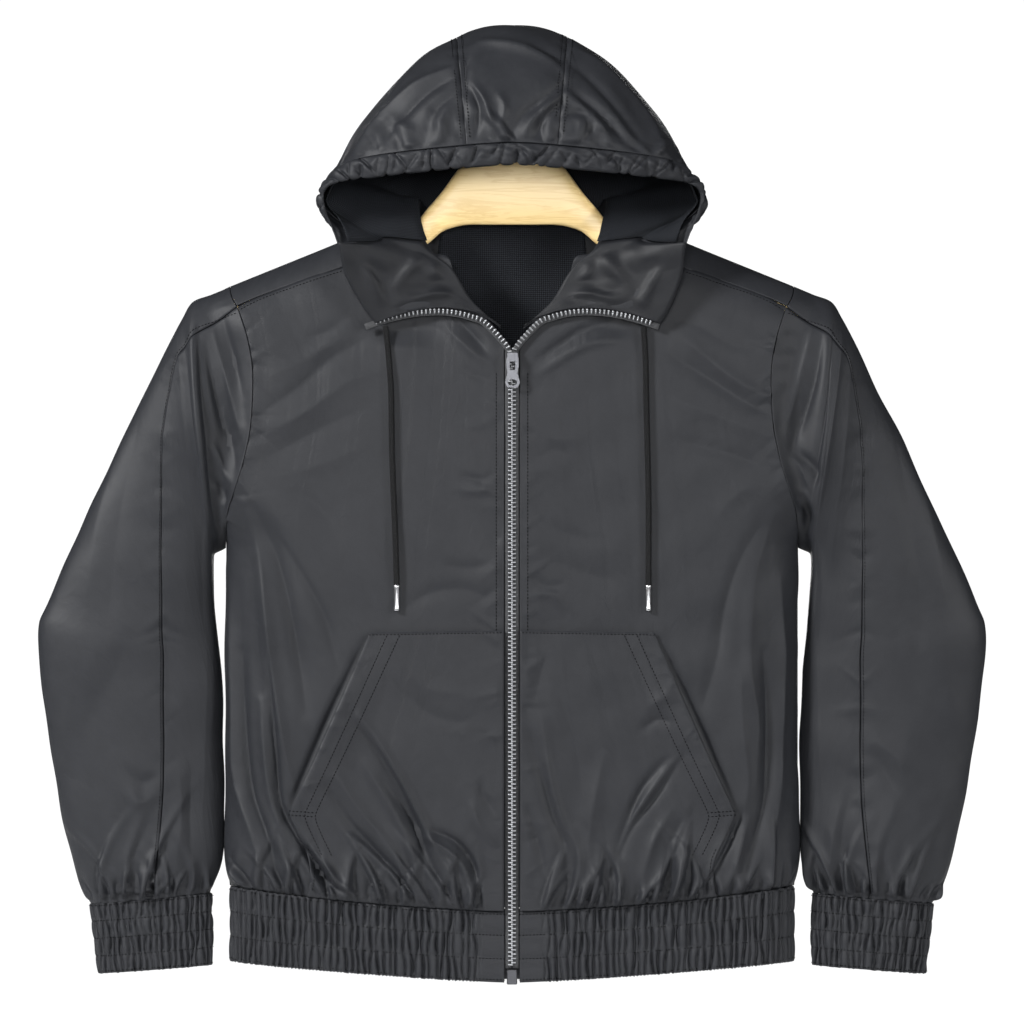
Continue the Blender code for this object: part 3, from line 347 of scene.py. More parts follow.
def patch_between(left, right, bottom, top, across, up):
    """A grid stretched between its four edges."""
    u, v = across[None, :, None], up[:, None, None]
    ruled = (1 - v) * bottom[None] + v * top[None]
    sides = (1 - u) * left[:, None] + u * right[:, None]
    corners = ((1 - u) * (1 - v) * bottom[0] + u * (1 - v) * bottom[-1]
               + (1 - u) * v * top[0] + u * v * top[-1])
    return ruled + sides - corners


def side_and_armhole(top_share, count):
    """Edge of a front or the back, from the band up the side and the armhole."""
    z = np.linspace(hem_top_z(HEM_CORNER[0]) + SEAM, ARMPIT_Z, 12)
    side_line = np.stack([side_x(z) - EDGE_INSET, z], 1)
    side_line[:, 0] -= ARMHOLE_GAP * ease((z + 440.0) / 29.0)
    hole = armhole(np.linspace(0.03, top_share, count))
    hole[:, 0] -= ARMHOLE_GAP
    return np.concatenate([side_line, hole])


def front_grid(across, up):
    """x and z of a front, flat, for the left side."""
    right = path_points(side_and_armhole(0.92, 16), len(up))
    shoulder = tuple((x - 0.3, z - 0.15) for x, z in SHOULDER_SEAM[1:-1])
    top = np.array(FRONT_NECK[:-1] + shoulder)
    top = path_points(np.concatenate([top, [right[-1]]]), 200)
    low = hem_top_z(0)
    left = np.stack([np.full(len(up), ZIP_EDGE), low + SEAM + (top[0][1] - low - SEAM) * up], 1)
    corner_x = side_x(HEM_CORNER[1]) - EDGE_INSET
    x_bottom = ZIP_EDGE + (corner_x - ZIP_EDGE) * across
    bottom = np.stack([x_bottom, hem_top_z(x_bottom) + SEAM], 1)
    return patch_between(left, right, bottom, at_shares(top, across), across, up)


def drop_to_arc(drop):
    """Length over the rounded shoulder for a drop below its crest."""
    size = np.abs(drop)
    on_round = TOP_ROUND * np.arccos(np.clip(1.0 - size / TOP_ROUND, 0.0, 1.0))
    beyond = TOP_ROUND * (math.pi / 2 - 1) + size
    return np.sign(drop) * np.where(size < TOP_ROUND, on_round, beyond)


def arc_to_drop(arc):
    size = np.abs(arc)
    quarter = TOP_ROUND * math.pi / 2
    on_round = TOP_ROUND * (1.0 - np.cos(np.minimum(size, quarter) / TOP_ROUND))
    beyond = size - TOP_ROUND * (math.pi / 2 - 1)
    return np.sign(arc) * np.where(size < quarter, on_round, beyond)


def back_grid(across, up):
    """Half of the back as (x, arc): arc is 0 on the crest, minus in front."""
    behind = side_and_armhole(1.0, 18)
    over = armhole(np.linspace(0.985, 0.925, 4))
    over[:, 0] -= ARMHOLE_GAP
    behind_drop = np.maximum(crest_z(behind[:, 0]) - behind[:, 1], 0.0)
    over_drop = np.maximum(crest_z(over[:, 0]) - over[:, 1], 1.0)
    edge = np.concatenate([
        np.stack([behind[:, 0], drop_to_arc(behind_drop)], 1),
        np.stack([over[:, 0], -drop_to_arc(over_drop)], 1)])
    seam = np.array(SHOULDER_SEAM[:-1]) + (0.0, 0.15)
    seam_arc = np.stack([seam[:, 0], -drop_to_arc(crest_z(seam[:, 0]) - seam[:, 1])], 1)
    neck_arc = np.array(BACK_NECK, dtype=float)
    neck_arc[:, 1] = drop_to_arc(neck_arc[:, 1])
    right = at_shares(path_points(edge, 400), up)
    top = path_points(np.concatenate([neck_arc, seam_arc, [right[-1]]]), 200)
    top_line = at_shares(top, across)
    x_bottom = edge[0][0] * across
    bottom_arc = drop_to_arc(crest_z(x_bottom) - hem_top_z(x_bottom) - SEAM)
    bottom = np.stack([x_bottom, bottom_arc], 1)
    left_arc = bottom_arc[0] + (top_line[0][1] - bottom_arc[0]) * up
    left = np.stack([np.zeros(len(up)), left_arc], 1)
    return patch_between(left, right, bottom, top_line, across, up)


def sleeve_surface(ring, angle):
    """Angle runs from the inner edge (0) over the front to the outer edge (pi)."""
    ring, angle = np.broadcast_arrays(np.asarray(ring, float), np.asarray(angle, float))
    row = smooth_rows(SLEEVE_RINGS, np.clip(ring, 0, len(SLEEVE_RINGS) - 1))
    share = (1.0 - np.cos(angle)) / 2.0
    flat = row[..., 2:4] + (row[..., 0:2] - row[..., 2:4]) * share[..., None]
    blend = np.clip(row[..., 7], 0.0, 1.0)
    hole = armhole(share)
    straight_x = ARMHOLE_BOTTOM[0] + (ARMHOLE_TOP[0] - ARMHOLE_BOTTOM[0]) * share
    bow = straight_x - hole[..., 0]
    x = flat[..., 0] - row[..., 8] * bow + SEAM / 2 * (1 - blend)
    rise = np.sin(angle)
    body_front = body_depth(hole[..., 0], hole[..., 1], False)
    body_back = body_depth(hole[..., 0], hole[..., 1], True)
    front = (1 - blend) * body_front + blend * row[..., 4] * rise
    behind = (1 - blend) * body_back - blend * row[..., 5] * rise
    y = np.where(rise > 0, -front + row[..., 9] * rise ** 2, behind)
    return np.stack([x, y, flat[..., 1]], axis=-1)


def sleeve_seam_angle(ring):
    """Where the seam between the two sleeve panels lies, on the sleeve's front."""
    return np.arccos(1.0 - 2.0 * smooth_rows(SLEEVE_RINGS, ring)[..., 6])


def hood_arches():
    """Rows of the whole hood, from the right zip edge over the top to the left."""
    half = np.array(HOOD_ARCHES)
    other = half[-2::-1].copy()
    half[:, 0::3] *= -1.0
    return np.concatenate([half, other])


def from_zip(arch):
    """Arches counted from the nearer zip edge."""
    return np.minimum(arch, HOOD_END - arch)


def hood_surface(arch, down):
    """arch 0 to HOOD_END from the right zip edge to the left; down 0 rim, 1 neck."""
    arch, down = np.broadcast_arrays(np.asarray(arch, float), np.asarray(down, float))
    row = smooth_rows(hood_arches(), np.clip(arch, 0, HOOD_END))
    rim, wide, neck = row[..., 0:3], row[..., 3:6], row[..., 6:9]
    v = down[..., None]
    control = 2.0 * wide - (rim + neck) / 2.0
    collar = (1 - v) ** 2 * rim + 2 * v * (1 - v) * control + v ** 2 * neck
    angle = np.clip(v * math.pi, -0.1, math.pi + 0.1)
    over = np.minimum(angle, math.pi / 2)
    behind = np.maximum(angle - math.pi / 2, 0.0)
    rise, fall = np.sin(over), 1.0 - np.cos(behind)
    flat = rim + (wide - rim) * rise + (neck - wide) * fall
    deep = rim + (wide - rim) * (1.0 - np.cos(over)) + (neck - wide) * np.sin(behind)
    raised = flat.copy()
    raised[..., 1] = deep[..., 1]
    fold = from_zip(arch)
    raised[..., 1] += HOOD_BULGE * np.sin(2 * behind[..., 0]) * ease((fold - 4.5) / 3.0)
    share = ease((fold - 2.8) / 1.4)[..., None]
    made = (1 - share) * collar + share * raised
    corner = (1 - np.clip(down, 0, 1)) ** 1.3
    made[..., 0] += 9.5 * ease((arch - 15.0) / 3.0) * corner
    made[..., 2] -= 3.6 * ease((1.6 - fold) / 1.6) * corner
    return made


def hood_normals(arch, down):
    """Outward normals of the hood."""
    step = 2e-3
    along_a = hood_surface(arch + step, down) - hood_surface(arch - step, down)
    along_b = hood_surface(arch, down + step) - hood_surface(arch, down - step)
    return unit(np.cross(along_a, along_b))


def hood_place(arch, down):
    """Points and outward normals of the hood."""
    return hood_surface(arch, down), hood_normals(arch, down)


def rim_share(arch, width):
    """The down value that lies a width in from the rim, for each arch."""
    down = np.linspace(0, 0.6, 121)
    length = row_lengths(hood_surface(np.asarray(arch)[:, None], down[None]))
    return np.array([np.interp(width, row, down) for row in length])


# ---------------------------------------------------------------- creases
# Every crease is a soft ridge (depth above 0) or trough (below 0) along a few
# points of the front or back view, given from the middle outward.
class Crease:
    def __init__(self, depth, width, points, lean=0.0):
        self.depth, self.width, self.lean = depth, width, lean
        self.path = path_points(np.array(points, dtype=float), 16)


def creases_of(*rows):
    """Creases from rows of depth, width, points and, where they lean, the lean."""
    return tuple(Crease(*row) for row in rows)


def points_near(path, flat, reach):
    """Which points of the view lie in the box round a path, widened by reach."""
    low, high = path.min(axis=0) - reach, path.max(axis=0) + reach
    return np.all((flat > low) & (flat < high), axis=-1)


def nearest_on_path(path, points):
    """Place along a path counted in its points, distance from it, and the side."""
    nearest = np.full(len(points), 1e9)
    place, side = np.zeros(len(points)), np.zeros(len(points))
    for i in range(len(path) - 1):
        start, step = path[i], path[i + 1] - path[i]
        t = np.clip(((points - start) @ step) / (step @ step), 0.0, 1.0)
        away = points - start - t[:, None] * step
        far = np.hypot(away[:, 0], away[:, 1])
        better = far < nearest
        nearest = np.where(better, far, nearest)
        place = np.where(better, i + t, place)
        turn = np.sign(step[0] * away[:, 1] - step[1] * away[:, 0])
        side = np.where(better, turn, side)
    return place, nearest, side


def crease_height(creases, x, z):
    """Summed height of a list of creases at points of the view."""
    total = np.zeros(np.shape(x))
    flat = np.stack([x, z], -1)
    for crease in creases:
        near = points_near(crease.path, flat, 3.2 * crease.width)
        if not near.any():
            continue
        place, far, side = nearest_on_path(crease.path, flat[near])
        share = place / (len(crease.path) - 1)
        across = far * side / crease.width
        shape = 0.5 * np.exp(-across ** 2) + 0.5 * np.exp(-1.9 * np.abs(across))
        shape = shape * (1.0 + crease.lean * np.tanh(1.5 * across))
        ends = np.sin(math.pi * np.clip(0.06 + 0.88 * share, 0, 1)) ** 0.8
        total[near] += crease.depth * shape * ends
    return total


def seam_pucker(seams, x, z, seed):
    """Small uneven puckers beside sewn seams: (reach, depth, pitch, points)."""
    total = np.zeros(np.shape(x))
    flat = np.stack([x, z], -1)
    for number, (reach, depth, pitch, points) in enumerate(seams):
        rng = np.random.default_rng(seed + number)
        path = path_points(np.array(points, dtype=float), 40)
        length = running_length(path)
        wave = np.sort(rng.uniform(0, length[-1], max(int(length[-1] / pitch), 2)))
        heights = rng.uniform(-1.0, 1.0, len(wave))
        leans = rng.uniform(-0.8, 0.8, len(wave))
        widths = rng.uniform(0.16, 0.40, len(wave)) * pitch
        reaches = rng.uniform(0.5, 1.5, len(wave)) * reach
        near = points_near(path, flat, 2.5 * reach)
        if not near.any():
            continue
        along, away, _ = nearest_on_path(path, flat[near])
        where = np.interp(along, np.arange(len(path)), length)
        for place, height, lean, width, far in zip(wave, heights, leans, widths, reaches):
            beside = np.abs(where - place - lean * away) / width
            total[near] += depth * height * np.exp(-beside) * np.exp(-(away / far) ** 1.5)
    return total


def soft_waves(x, z, seed, size, height):
    """Broad uneven undulation, fixed by its seed."""
    rng = np.random.default_rng(seed)
    total = np.zeros(np.shape(x))
    for _ in range(9):
        turn = rng.uniform(0, 2 * math.pi)
        length = size * rng.uniform(0.6, 1.6)
        phase = rng.uniform(0, 2 * math.pi)
        along = x * math.cos(turn) + z * math.sin(turn)
        total += np.sin(2 * math.pi * along / length + phase)
    return total * height / 3.0


class Gather:
    """Uneven small folds that run from an elastic band up into the cloth.

    Each has a sharp valley with a soft ridge beside it; most are short and
    some run on far into the cloth, leaning and bending as they go.
    """

    def __init__(self, length, pitch, seed, reach=(9.0, 70.0), height=(1.0, 3.0),
                 tilt=0.0, fan=0.0):
        rng = np.random.default_rng(seed)
        count = max(int(round(length / pitch)), 2)
        even = (np.arange(count) + 0.5) * length / count
        self.place = even + rng.uniform(-0.36, 0.36, count) * pitch
        self.height = rng.uniform(*height, count)
        self.reach = reach[0] + (reach[1] - reach[0]) * rng.random(count) ** 1.3
        spread = fan * (2.0 * self.place / length - 1.0)
        self.lean = tilt + spread + rng.uniform(-0.24, 0.24, count)
        self.bend = rng.uniform(-0.5, 0.5, count) / self.reach
        self.width = rng.uniform(1.4, 2.6, count)
        self.side = rng.choice((-1.0, 1.0), count)
        self.pitch = pitch

    def rise(self, where, above):
        """where is the distance along the band, above the height over its seam."""
        total = np.zeros(np.shape(where))
        up = np.maximum(above, 0.0)
        folds = zip(self.place, self.height, self.reach, self.lean, self.bend, self.width,
                    self.side)
        for place, height, reach, lean, bend, width, side in folds:
            near = (up < 1.9 * reach) & (np.abs(where - place) < 14.0 + 0.9 * reach)
            if not near.any():
                continue
            high = up[near]
            away = where[near] - place - lean * high - bend * high ** 2
            valley = np.exp(-np.abs(away) / (width * (1.0 + high / 45.0)))
            spread = 0.36 * self.pitch * (1.0 + high / 60.0)
            beside = (away - side * 0.42 * self.pitch) / spread
            fade = np.exp(-(high / reach) ** 2.2)
            total[near] += height * fade * (0.9 * np.exp(-beside ** 2) - 1.0 * valley)
        return total


# x from the middle outward, z
RIGHT_FRONT = creases_of(
    # drag lines between armhole and collar
    (-2.4, 8, [(218, -297), (185, -275), (152, -247), (120, -229)]),
    (2.0, 9, [(219, -318), (180, -296), (140, -268), (112, -258)]),
    (-1.5, 9, [(215, -336), (170, -312), (125, -290)]),
    (1.6, 8, [(205, -262), (172, -246), (140, -222)]),
    (-2.0, 7, [(178, -232), (158, -226), (140, -212)]),
    (1.1, 11, [(208, -352), (165, -340), (120, -322)]),
    (-1.2, 8, [(196, -362), (170, -372), (150, -396)]),
    # under the turned-out collar
    (-3.6, 4.5, [(48, -214), (34, -228), (22, -243)]),
    (2.6, 5, [(60, -218), (46, -232), (30, -246), (20, -252)]),
    (-3.0, 10, [(130, -214), (105, -224), (76, -222), (56, -226)]),
    (1.8, 10, [(116, -238), (92, -240), (68, -240)]),
    # long folds from the armpit down the side
    (4.6, 7, [(229, -372), (217, -412), (211, -455), (204, -525), (195, -580), (187, -615)], 0.25),
    (-4.0, 7, [(219, -380), (203, -415), (192, -455), (183, -500), (176, -550)]),
    (4.4, 6, [(242, -430), (241, -473), (238, -550), (236, -611), (221, -658), (208, -705)]),
    (-4.2, 5, [(231, -500), (231, -542), (225, -615), (208, -662), (199, -705)]),
    (3.6, 5, [(215, -542), (208, -615), (195, -658), (180, -697)]),
    (-4.4, 4, [(208, -507), (203, -576), (199, -628), (182, -662), (161, -705)]),
    (-2.4, 7, [(205, -395), (180, -432), (160, -470), (148, -515)]),
    (1.8, 10, [(196, -400), (172, -440), (156, -470)]),
    # short pulls beside the zip
    (-1.5, 4, [(14, -346), (24, -352), (42, -350)]),
    (1.4, 4, [(14, -354), (28, -362), (48, -360)]),
    (-1.4, 5, [(14, -268), (30, -264), (44, -256)]),
    (-1.2, 6, [(14, -420), (34, -428), (60, -425)]),
    (1.1, 5, [(14, -300), (26, -306), (40, -306)]),
    (-1.1, 7, [(16, -455), (44, -446), (76, -452), (100, -470)]),
)
LEFT_FRONT = creases_of(
    (-2.6, 7, [(234, -300), (206, -289), (172, -268), (134, -243)]),
    (2.4, 7, [(230, -284), (200, -272), (166, -247), (142, -226)]),
    (1.7, 10, [(226, -318), (192, -304), (150, -288), (128, -276)]),
    (-1.9, 8, [(222, -344), (185, -330), (140, -318)]),
    (-1.6, 7, [(216, -240), (188, -236), (160, -220), (136, -214)]),
    (1.3, 9, [(220, -356), (196, -362), (176, -384)]),
    (-4.0, 5, [(86, -217), (60, -225), (36, -240), (20, -252)]),
    (2.8, 5, [(98, -232), (66, -236), (40, -250), (22, -262)]),
    (-2.5, 8, [(118, -214), (96, -222), (74, -220)]),
    (2.2, 7, [(226, -380), (214, -412), (206, -450), (204, -516), (211, -560), (209, -615)], -0.2),
    (-2.4, 6, [(212, -392), (194, -424), (182, -462), (174, -510), (164, -545)]),
    (3.2, 6, [(230, -440), (233, -505), (231, -559), (230, -602), (226, -645), (221, -679)]),
    (-4.2, 5.5, [(216, -500), (219, -540), (220, -585), (217, -628), (209, -658), (197, -690)]),
    (2.6, 7, [(196, -520), (198, -570), (202, -610), (198, -640)]),
    (3.6, 4, [(200, -645), (196, -666), (190, -688), (183, -703)]),
    (-1.4, 5, [(16, -434), (30, -444), (46, -441)]),
    (1.3, 4, [(16, -452), (34, -450), (44, -462)]),
    (-1.2, 6, [(18, -336), (34, -328), (52, -330)]),
    (-1.3, 7, [(22, -386), (50, -400), (84, -404)]),
    (1.1, 6, [(18, -308), (34, -316), (60, -318)]),
    (-1.0, 8, [(20, -418), (56, -430), (90, -440)]),
)
RIGHT_POCKET = creases_of(
    (-2.6, 4.5, [(126, -490), (143, -526), (160, -563), (177, -603), (191, -636)]),
    # folds that start at the corner of the hand opening
    (-5.0, 3.4, [(178, -664), (172, -674), (157, -697), (139, -709)]),
    (4.0, 3.6, [(174, -664), (160, -682), (148, -697), (131, -711)]),
    (-3.8, 3.4, [(181, -662), (165, -688), (152, -705)]),
    # folds that fan from the hand opening down to the band
    (-3.7, 4.2, [(140, -548), (135, -559), (113, -589), (88, -632), (70, -679), (58, -705)]),
    (4.0, 5, [(132, -556), (118, -572), (92, -615), (70, -658), (49, -697)]),
    (-3.6, 4.5, [(110, -606), (105, -615), (79, -658), (75, -697)]),
    (3.2, 5, [(126, -596), (104, -632), (88, -664), (80, -700)]),
    (3.4, 3.6, [(75, -658), (53, -671), (40, -688), (34, -714)]),
    (-4.2, 3.4, [(69, -652), (46, -664), (32, -686), (26, -712)]),
    (-3.6, 4.5, [(158, -612), (139, -645), (113, -675), (101, -701)]),
    (3.2, 5, [(150, -606), (126, -641), (100, -671), (92, -700)]),
    (0.6, 8, [(92, -514), (70, -532), (40, -536)]),
    (-0.7, 7, [(100, -528), (76, -550), (46, -560), (22, -548)]),
    (-1.8, 4, [(14, -640), (24, -624), (26, -610)]),
    (1.7, 4, [(14, -664), (28, -648), (34, -630)]),
)
LEFT_POCKET = creases_of(
    (-2.6, 4.5, [(126, -490), (143, -526), (160, -563), (177, -603), (191, -636)]),
    (-5.0, 3.4, [(196, -638), (188, -658), (179, -675), (166, -697), (158, -711)]),
    (4.0, 3.6, [(186, -656), (175, -679), (164, -697), (152, -710)]),
    (-3.2, 3.8, [(132, -592), (123, -602), (110, -619), (99, -645), (91, -667), (82, -700)]),
    (3.0, 4.2, [(140, -592), (124, -612), (104, -641), (94, -662), (84, -686)]),
    (-2.4, 3.8, [(148, -588), (140, -598), (123, -624), (106, -645), (95, -667), (89, -690)]),
    (-3.4, 5, [(16, -570), (20, -585), (28, -615), (37, -645), (46, -667), (48, -700)]),
    (3.0, 5, [(26, -556), (32, -602), (42, -640), (56, -668), (60, -700)]),
    (-3.0, 4, [(14, -634), (22, -662), (28, -690)]),
    (2.4, 7, [(78, -590), (70, -630), (66, -664), (70, -690)]),
    (-0.9, 7, [(30, -520), (46, -552), (56, -590), (60, -630)]),
    (1.6, 7, [(116, -548), (128, -540), (140, -534)]),
    (-2.2, 4, [(112, -566), (124, -558), (136, -560)]),
    (3.0, 5, [(136, -636), (122, -660), (112, -692)]),
    (-3.0, 4.5, [(148, -640), (136, -664), (128, -696)]),
    (-1.4, 7, [(30, -500), (24, -520), (20, -540)]),
)
BACK_CREASES = creases_of(
    # x from the wearer's right (minus) to left (plus)
    (2.2, 16, [(-205, -300), (-150, -330), (-80, -345)]),
    (-2.0, 14, [(-212, -330), (-160, -362), (-100, -380)]),
    (2.0, 15, [(210, -308), (160, -334), (96, -352)]),
    (-1.9, 13, [(214, -342), (170, -368), (120, -392)]),
    (2.8, 14, [(-226, -400), (-206, -470), (-196, -560), (-200, -640)]),
    (-2.6, 13, [(-206, -410), (-180, -480), (-172, -560), (-176, -630)]),
    (2.6, 13, [(228, -396), (204, -460), (190, -540), (188, -620)]),
    (-2.5, 12, [(204, -420), (176, -490), (164, -570)]),
    (-2.0, 18, [(-70, -520), (-84, -600), (-78, -680)]),
    (2.0, 18, [(-36, -540), (-48, -620), (-40, -690)]),
    (1.8, 18, [(66, -500), (80, -590), (74, -680)]),
    (-1.8, 16, [(106, -520), (118, -600), (110, -680)]),
    (0.6, 20, [(-60, -180), (0, -196), (60, -180)]),
    (0.8, 18, [(-90, -220), (0, -236), (88, -222)]),
    (2.2, 10, [(232, -520), (228, -600), (222, -670)]),
    (2.0, 10, [(-234, -500), (-230, -590), (-222, -668)]),
)
RIGHT_SLEEVE = creases_of(
    # the sleeve's front fold and the folds between it and the armhole
    (2.2, 6, [(276, -218), (273, -267), (269, -310), (265, -353), (262, -400)], -0.4),
    (-3.4, 4.5, [(269, -222), (266, -267), (262, -310), (258, -353), (255, -392)]),
    (-3.6, 4.5, [(262, -236), (252, -284), (242, -322), (237, -340)]),
    (3.0, 5, [(256, -226), (251, -245), (240, -282), (231, -318)]),
    (-2.2, 4, [(248, -214), (240, -246), (231, -280)]),
    (3.0, 4.5, [(260, -318), (247, -344), (239, -357)]),
    (-3.0, 3.6, [(256, -352), (249, -361), (245, -380)]),
    (2.0, 4, [(250, -372), (243, -376), (238, -386)]),
    # long soft folds down the sleeve
    (1.8, 9, [(288, -230), (282, -290), (276, -350), (272, -410)]),
    (-1.4, 9, [(284, -300), (268, -360), (266, -430), (264, -480)]),
    (-1.0, 9, [(318, -290), (336, -380), (346, -460), (352, -510)]),
    (1.1, 9, [(332, -300), (356, -390), (366, -470)]),
    (-1.1, 13, [(384, -600), (366, -560), (344, -520), (326, -480)], 0.3),
    (0.9, 14, [(392, -580), (372, -530), (350, -490)]),
    (-2.4, 6, [(332, -600), (318, -612), (304, -606)]),
    (2.2, 5, [(330, -620), (318, -630), (306, -622)]),
    (-1.7, 6, [(322, -616), (312, -628), (303, -634)]),
    (1.7, 12, [(338, -560), (326, -600), (322, -650)]),
    (2.2, 9, [(286, -600), (284, -640), (288, -680)]),
    (-2.0, 7, [(276, -600), (276, -640), (276, -680)]),
    (1.7, 11, [(262, -500), (264, -580), (266, -650)]),
    (-1.2, 9, [(300, -460), (294, -520), (296, -560)]),
)
LEFT_SLEEVE = creases_of(
    (1.6, 6, [(284, -214), (281, -250), (276, -290), (269, -335), (264, -375), (260, -406)], -0.4),
    (-3.4, 4.5, [(277, -220), (274, -254), (268, -294), (261, -337), (256, -372), (254, -394)]),
    (-3.4, 4.5, [(266, -228), (258, -268), (247, -306), (240, -330)]),
    (2.4, 5, [(258, -222), (250, -254), (240, -288), (234, -312)]),
    (2.8, 4.5, [(241, -334), (250, -346), (258, -366)]),
    (-3.2, 3.8, [(246, -330), (256, -340), (262, -354)]),
    (2.4, 4, [(246, -362), (254, -366), (259, -380)]),
    (-3.0, 3.6, [(246, -374), (252, -379), (255, -392)]),
    (1.7, 9, [(292, -230), (288, -290), (282, -350), (274, -420)]),
    (-1.0, 9, [(326, -300), (342, -380), (350, -460), (348, -520)]),
    (1.1, 9, [(336, -300), (362, -396), (372, -470)]),
    (-1.0, 14, [(386, -600), (362, -560), (340, -516), (324, -470)]),
    (0.9, 14, [(392, -570), (374, -530), (352, -480)]),
    (-1.8, 7, [(334, -630), (322, -606), (312, -590), (304, -590)]),
    (1.6, 8, [(340, -600), (322, -584), (306, -576)]),
    (-1.8, 6, [(290, -620), (284, -650), (280, -690)]),
    (2.2, 7, [(282, -630), (276, -660), (272, -690)]),
    (1.8, 11, [(262, -500), (264, -580), (268, -640)]),
    (-1.3, 9, [(302, -500), (300, -560), (304, -600)]),
    (1.6, 13, [(342, -560), (330, -620), (322, -660)]),
)
SLEEVE_BEHIND = creases_of(
    (2.4, 14, [(286, -240), (300, -330), (312, -430), (306, -500)]),
    (-2.2, 12, [(272, -260), (284, -350), (290, -440), (286, -520)]),
    (-1.2, 15, [(392, -560), (356, -540), (312, -530), (270, -540)]),
    (1.1, 15, [(396, -590), (356, -574), (310, -566), (268, -574)]),
    (1.9, 12, [(350, -600), (338, -650), (330, -690)]),
    (-1.8, 11, [(312, -610), (306, -650), (306, -690)]),
    (-2.0, 12, [(330, -270), (346, -360), (350, -440)]),
)
HOOD_CREASES = creases_of(
    # x as in the front view, from the wearer's right (minus) to left (plus)
    (4.2, 4.5, [(-46, 0), (-62, -6), (-82, -16), (-115, -45), (-134, -72)]),
    (-4.0, 4.5, [(-48, -8), (-72, -22), (-99, -49), (-112, -66)]),
    (-3.0, 4, [(-48, -22), (-66, -39), (-72, -64)]),
    (2.8, 4, [(-50, -32), (-58, -46), (-60, -66)]),
    (2.4, 5, [(-104, -56), (-96, -50), (-84, -58)]),
    (3.8, 4.5, [(-38, 16), (-23, 22), (7, 17), (34, 4), (44, -6)]),
    (-3.4, 4.5, [(-36, 10), (-41, -4), (-38, -20)]),
    (3.6, 4, [(-40, -10), (-26, -26), (-19, -42), (-16, -60)]),
    (-3.6, 3.6, [(-36, -14), (-28, -38), (-31, -60)]),
    (-3.8, 4.5, [(46, -14), (27, -29), (10, -42), (0, -57)]),
    (3.6, 4.5, [(44, -22), (30, -34), (18, -46), (10, -60)]),
    (-3.2, 4, [(46, -29), (30, -43), (20, -60)]),
    (2.8, 4, [(-12, -24), (-6, -36), (-10, -54)]),
    (4.6, 4, [(46, -22), (63, -39), (77, -55), (87, -76)]),
    (-4.8, 4.2, [(52, -20), (73, -36), (90, -55), (107, -76)]),
    (4.2, 5, [(48, 18), (73, 4), (97, -19), (120, -49), (131, -78)]),
    (-4.0, 5, [(47, 6), (67, -9), (90, -36), (110, -63)]),
    (3.0, 3.4, [(47, -49), (57, -45), (60, -55), (57, -69)]),
    (-3.0, 3.4, [(44, -44), (62, -40), (68, -54), (66, -68)]),
    (-2.6, 4, [(18, 18), (34, 12), (46, 4)]),
)
COLLAR_CREASES = creases_of(
    # on the turned-out collar, x from the middle outward
    (-2.2, 5, [(88, -158), (98, -172), (108, -184)]),
    (2.2, 5, [(76, -160), (92, -176), (100, -190)]),
    (-2.4, 4.5, [(122, -166), (112, -182), (104, -198)]),
    (2.0, 4, [(128, -170), (118, -186), (112, -204)]),
    (-1.8, 4, [(46, -186), (62, -182), (76, -190), (90, -190)]),
    (1.8, 4, [(52, -194), (70, -194), (86, -198)]),
    (1.6, 5, [(60, -164), (66, -174), (56, -182)]),
    (-1.6, 5, [(72, -200), (56, -200), (44, -196)]),
    (-1.6, 4, [(102, -204), (94, -206), (80, -204)]),
)


def armhole_seam(reach, depth):
    return ((reach, depth, 8.5, armhole(np.linspace(0.04, 0.95, 14))),)


def blouse(above, height, reach):
    """The cloth bulges over an elastic band and is drawn in at its seam."""
    bulge = height * (1.0 - np.exp(-above / 9.0)) * np.exp(-(above / reach) ** 2)
    return bulge - 1.8 * np.exp(-above / 9.0)


def front_relief(side, x, z):
    """Height of the folds on a front; x is from the middle outward."""
    creases = RIGHT_FRONT + RIGHT_POCKET if side < 0 else LEFT_FRONT + LEFT_POCKET
    seed = 11 if side < 0 else 12
    height = (0.85 + 0.45 * ease((-400.0 - z) / 90.0)) * crease_height(creases, x, z)
    height += soft_waves(side * x, z, seed, 70.0, 0.5)
    beside_zip = ZIP_EDGE + 6
    zip_seam = ((15.0, 1.3, 12.0, [(beside_zip, -260), (beside_zip, -480), (beside_zip, -700)]),)
    height += seam_pucker(zip_seam + armhole_seam(12.0, 1.9), x, z, seed * 10)
    above = z - hem_top_z(x)
    gather = Gather(245.0, 9.2, seed + 20, reach=(14.0, 60.0), height=(3.4, 8.6), tilt=0.26)
    edge = ease((x - 20.0) / 14.0)
    held = (0.25 + 0.75 * ease(above / 7.0)) * ease((side_x(z) - x - 1.0) / 9.0)
    height += edge * held * gather.rise(x, above)
    height += edge * blouse(above, 3.0, 60.0)
    height *= ease((x - ZIP_EDGE + 1.0) / 9.0)
    return height


def back_relief(x, z):
    """Height of the folds on the back; x from the wearer's right to left."""
    height = 2.2 * crease_height(BACK_CREASES, x, z) + soft_waves(x, z, 31, 90.0, 0.8)
    for side, _ in SIDES:
        height += seam_pucker(armhole_seam(12.0, 1.7), side * x, z, 300 + side)
    above = z - hem_top_z(x)
    height += Gather(500.0, 9.0, 33, height=(2.2, 6.0)).rise(x + 250.0, above)
    return height + blouse(above, 3.5, 70.0)


# -------------------------------------------------------------- materials
def finish_named(name):
    """An empty material with one shader."""
    made = bpy.data.materials.new(name)
    made.use_nodes = True
    tree = made.node_tree
    tree.nodes.clear()
    out = tree.nodes.new("ShaderNodeOutputMaterial")
    shader = tree.nodes.new("ShaderNodeBsdfPrincipled")
    tree.links.new(shader.outputs["BSDF"], out.inputs["Surface"])
    return made, tree, shader


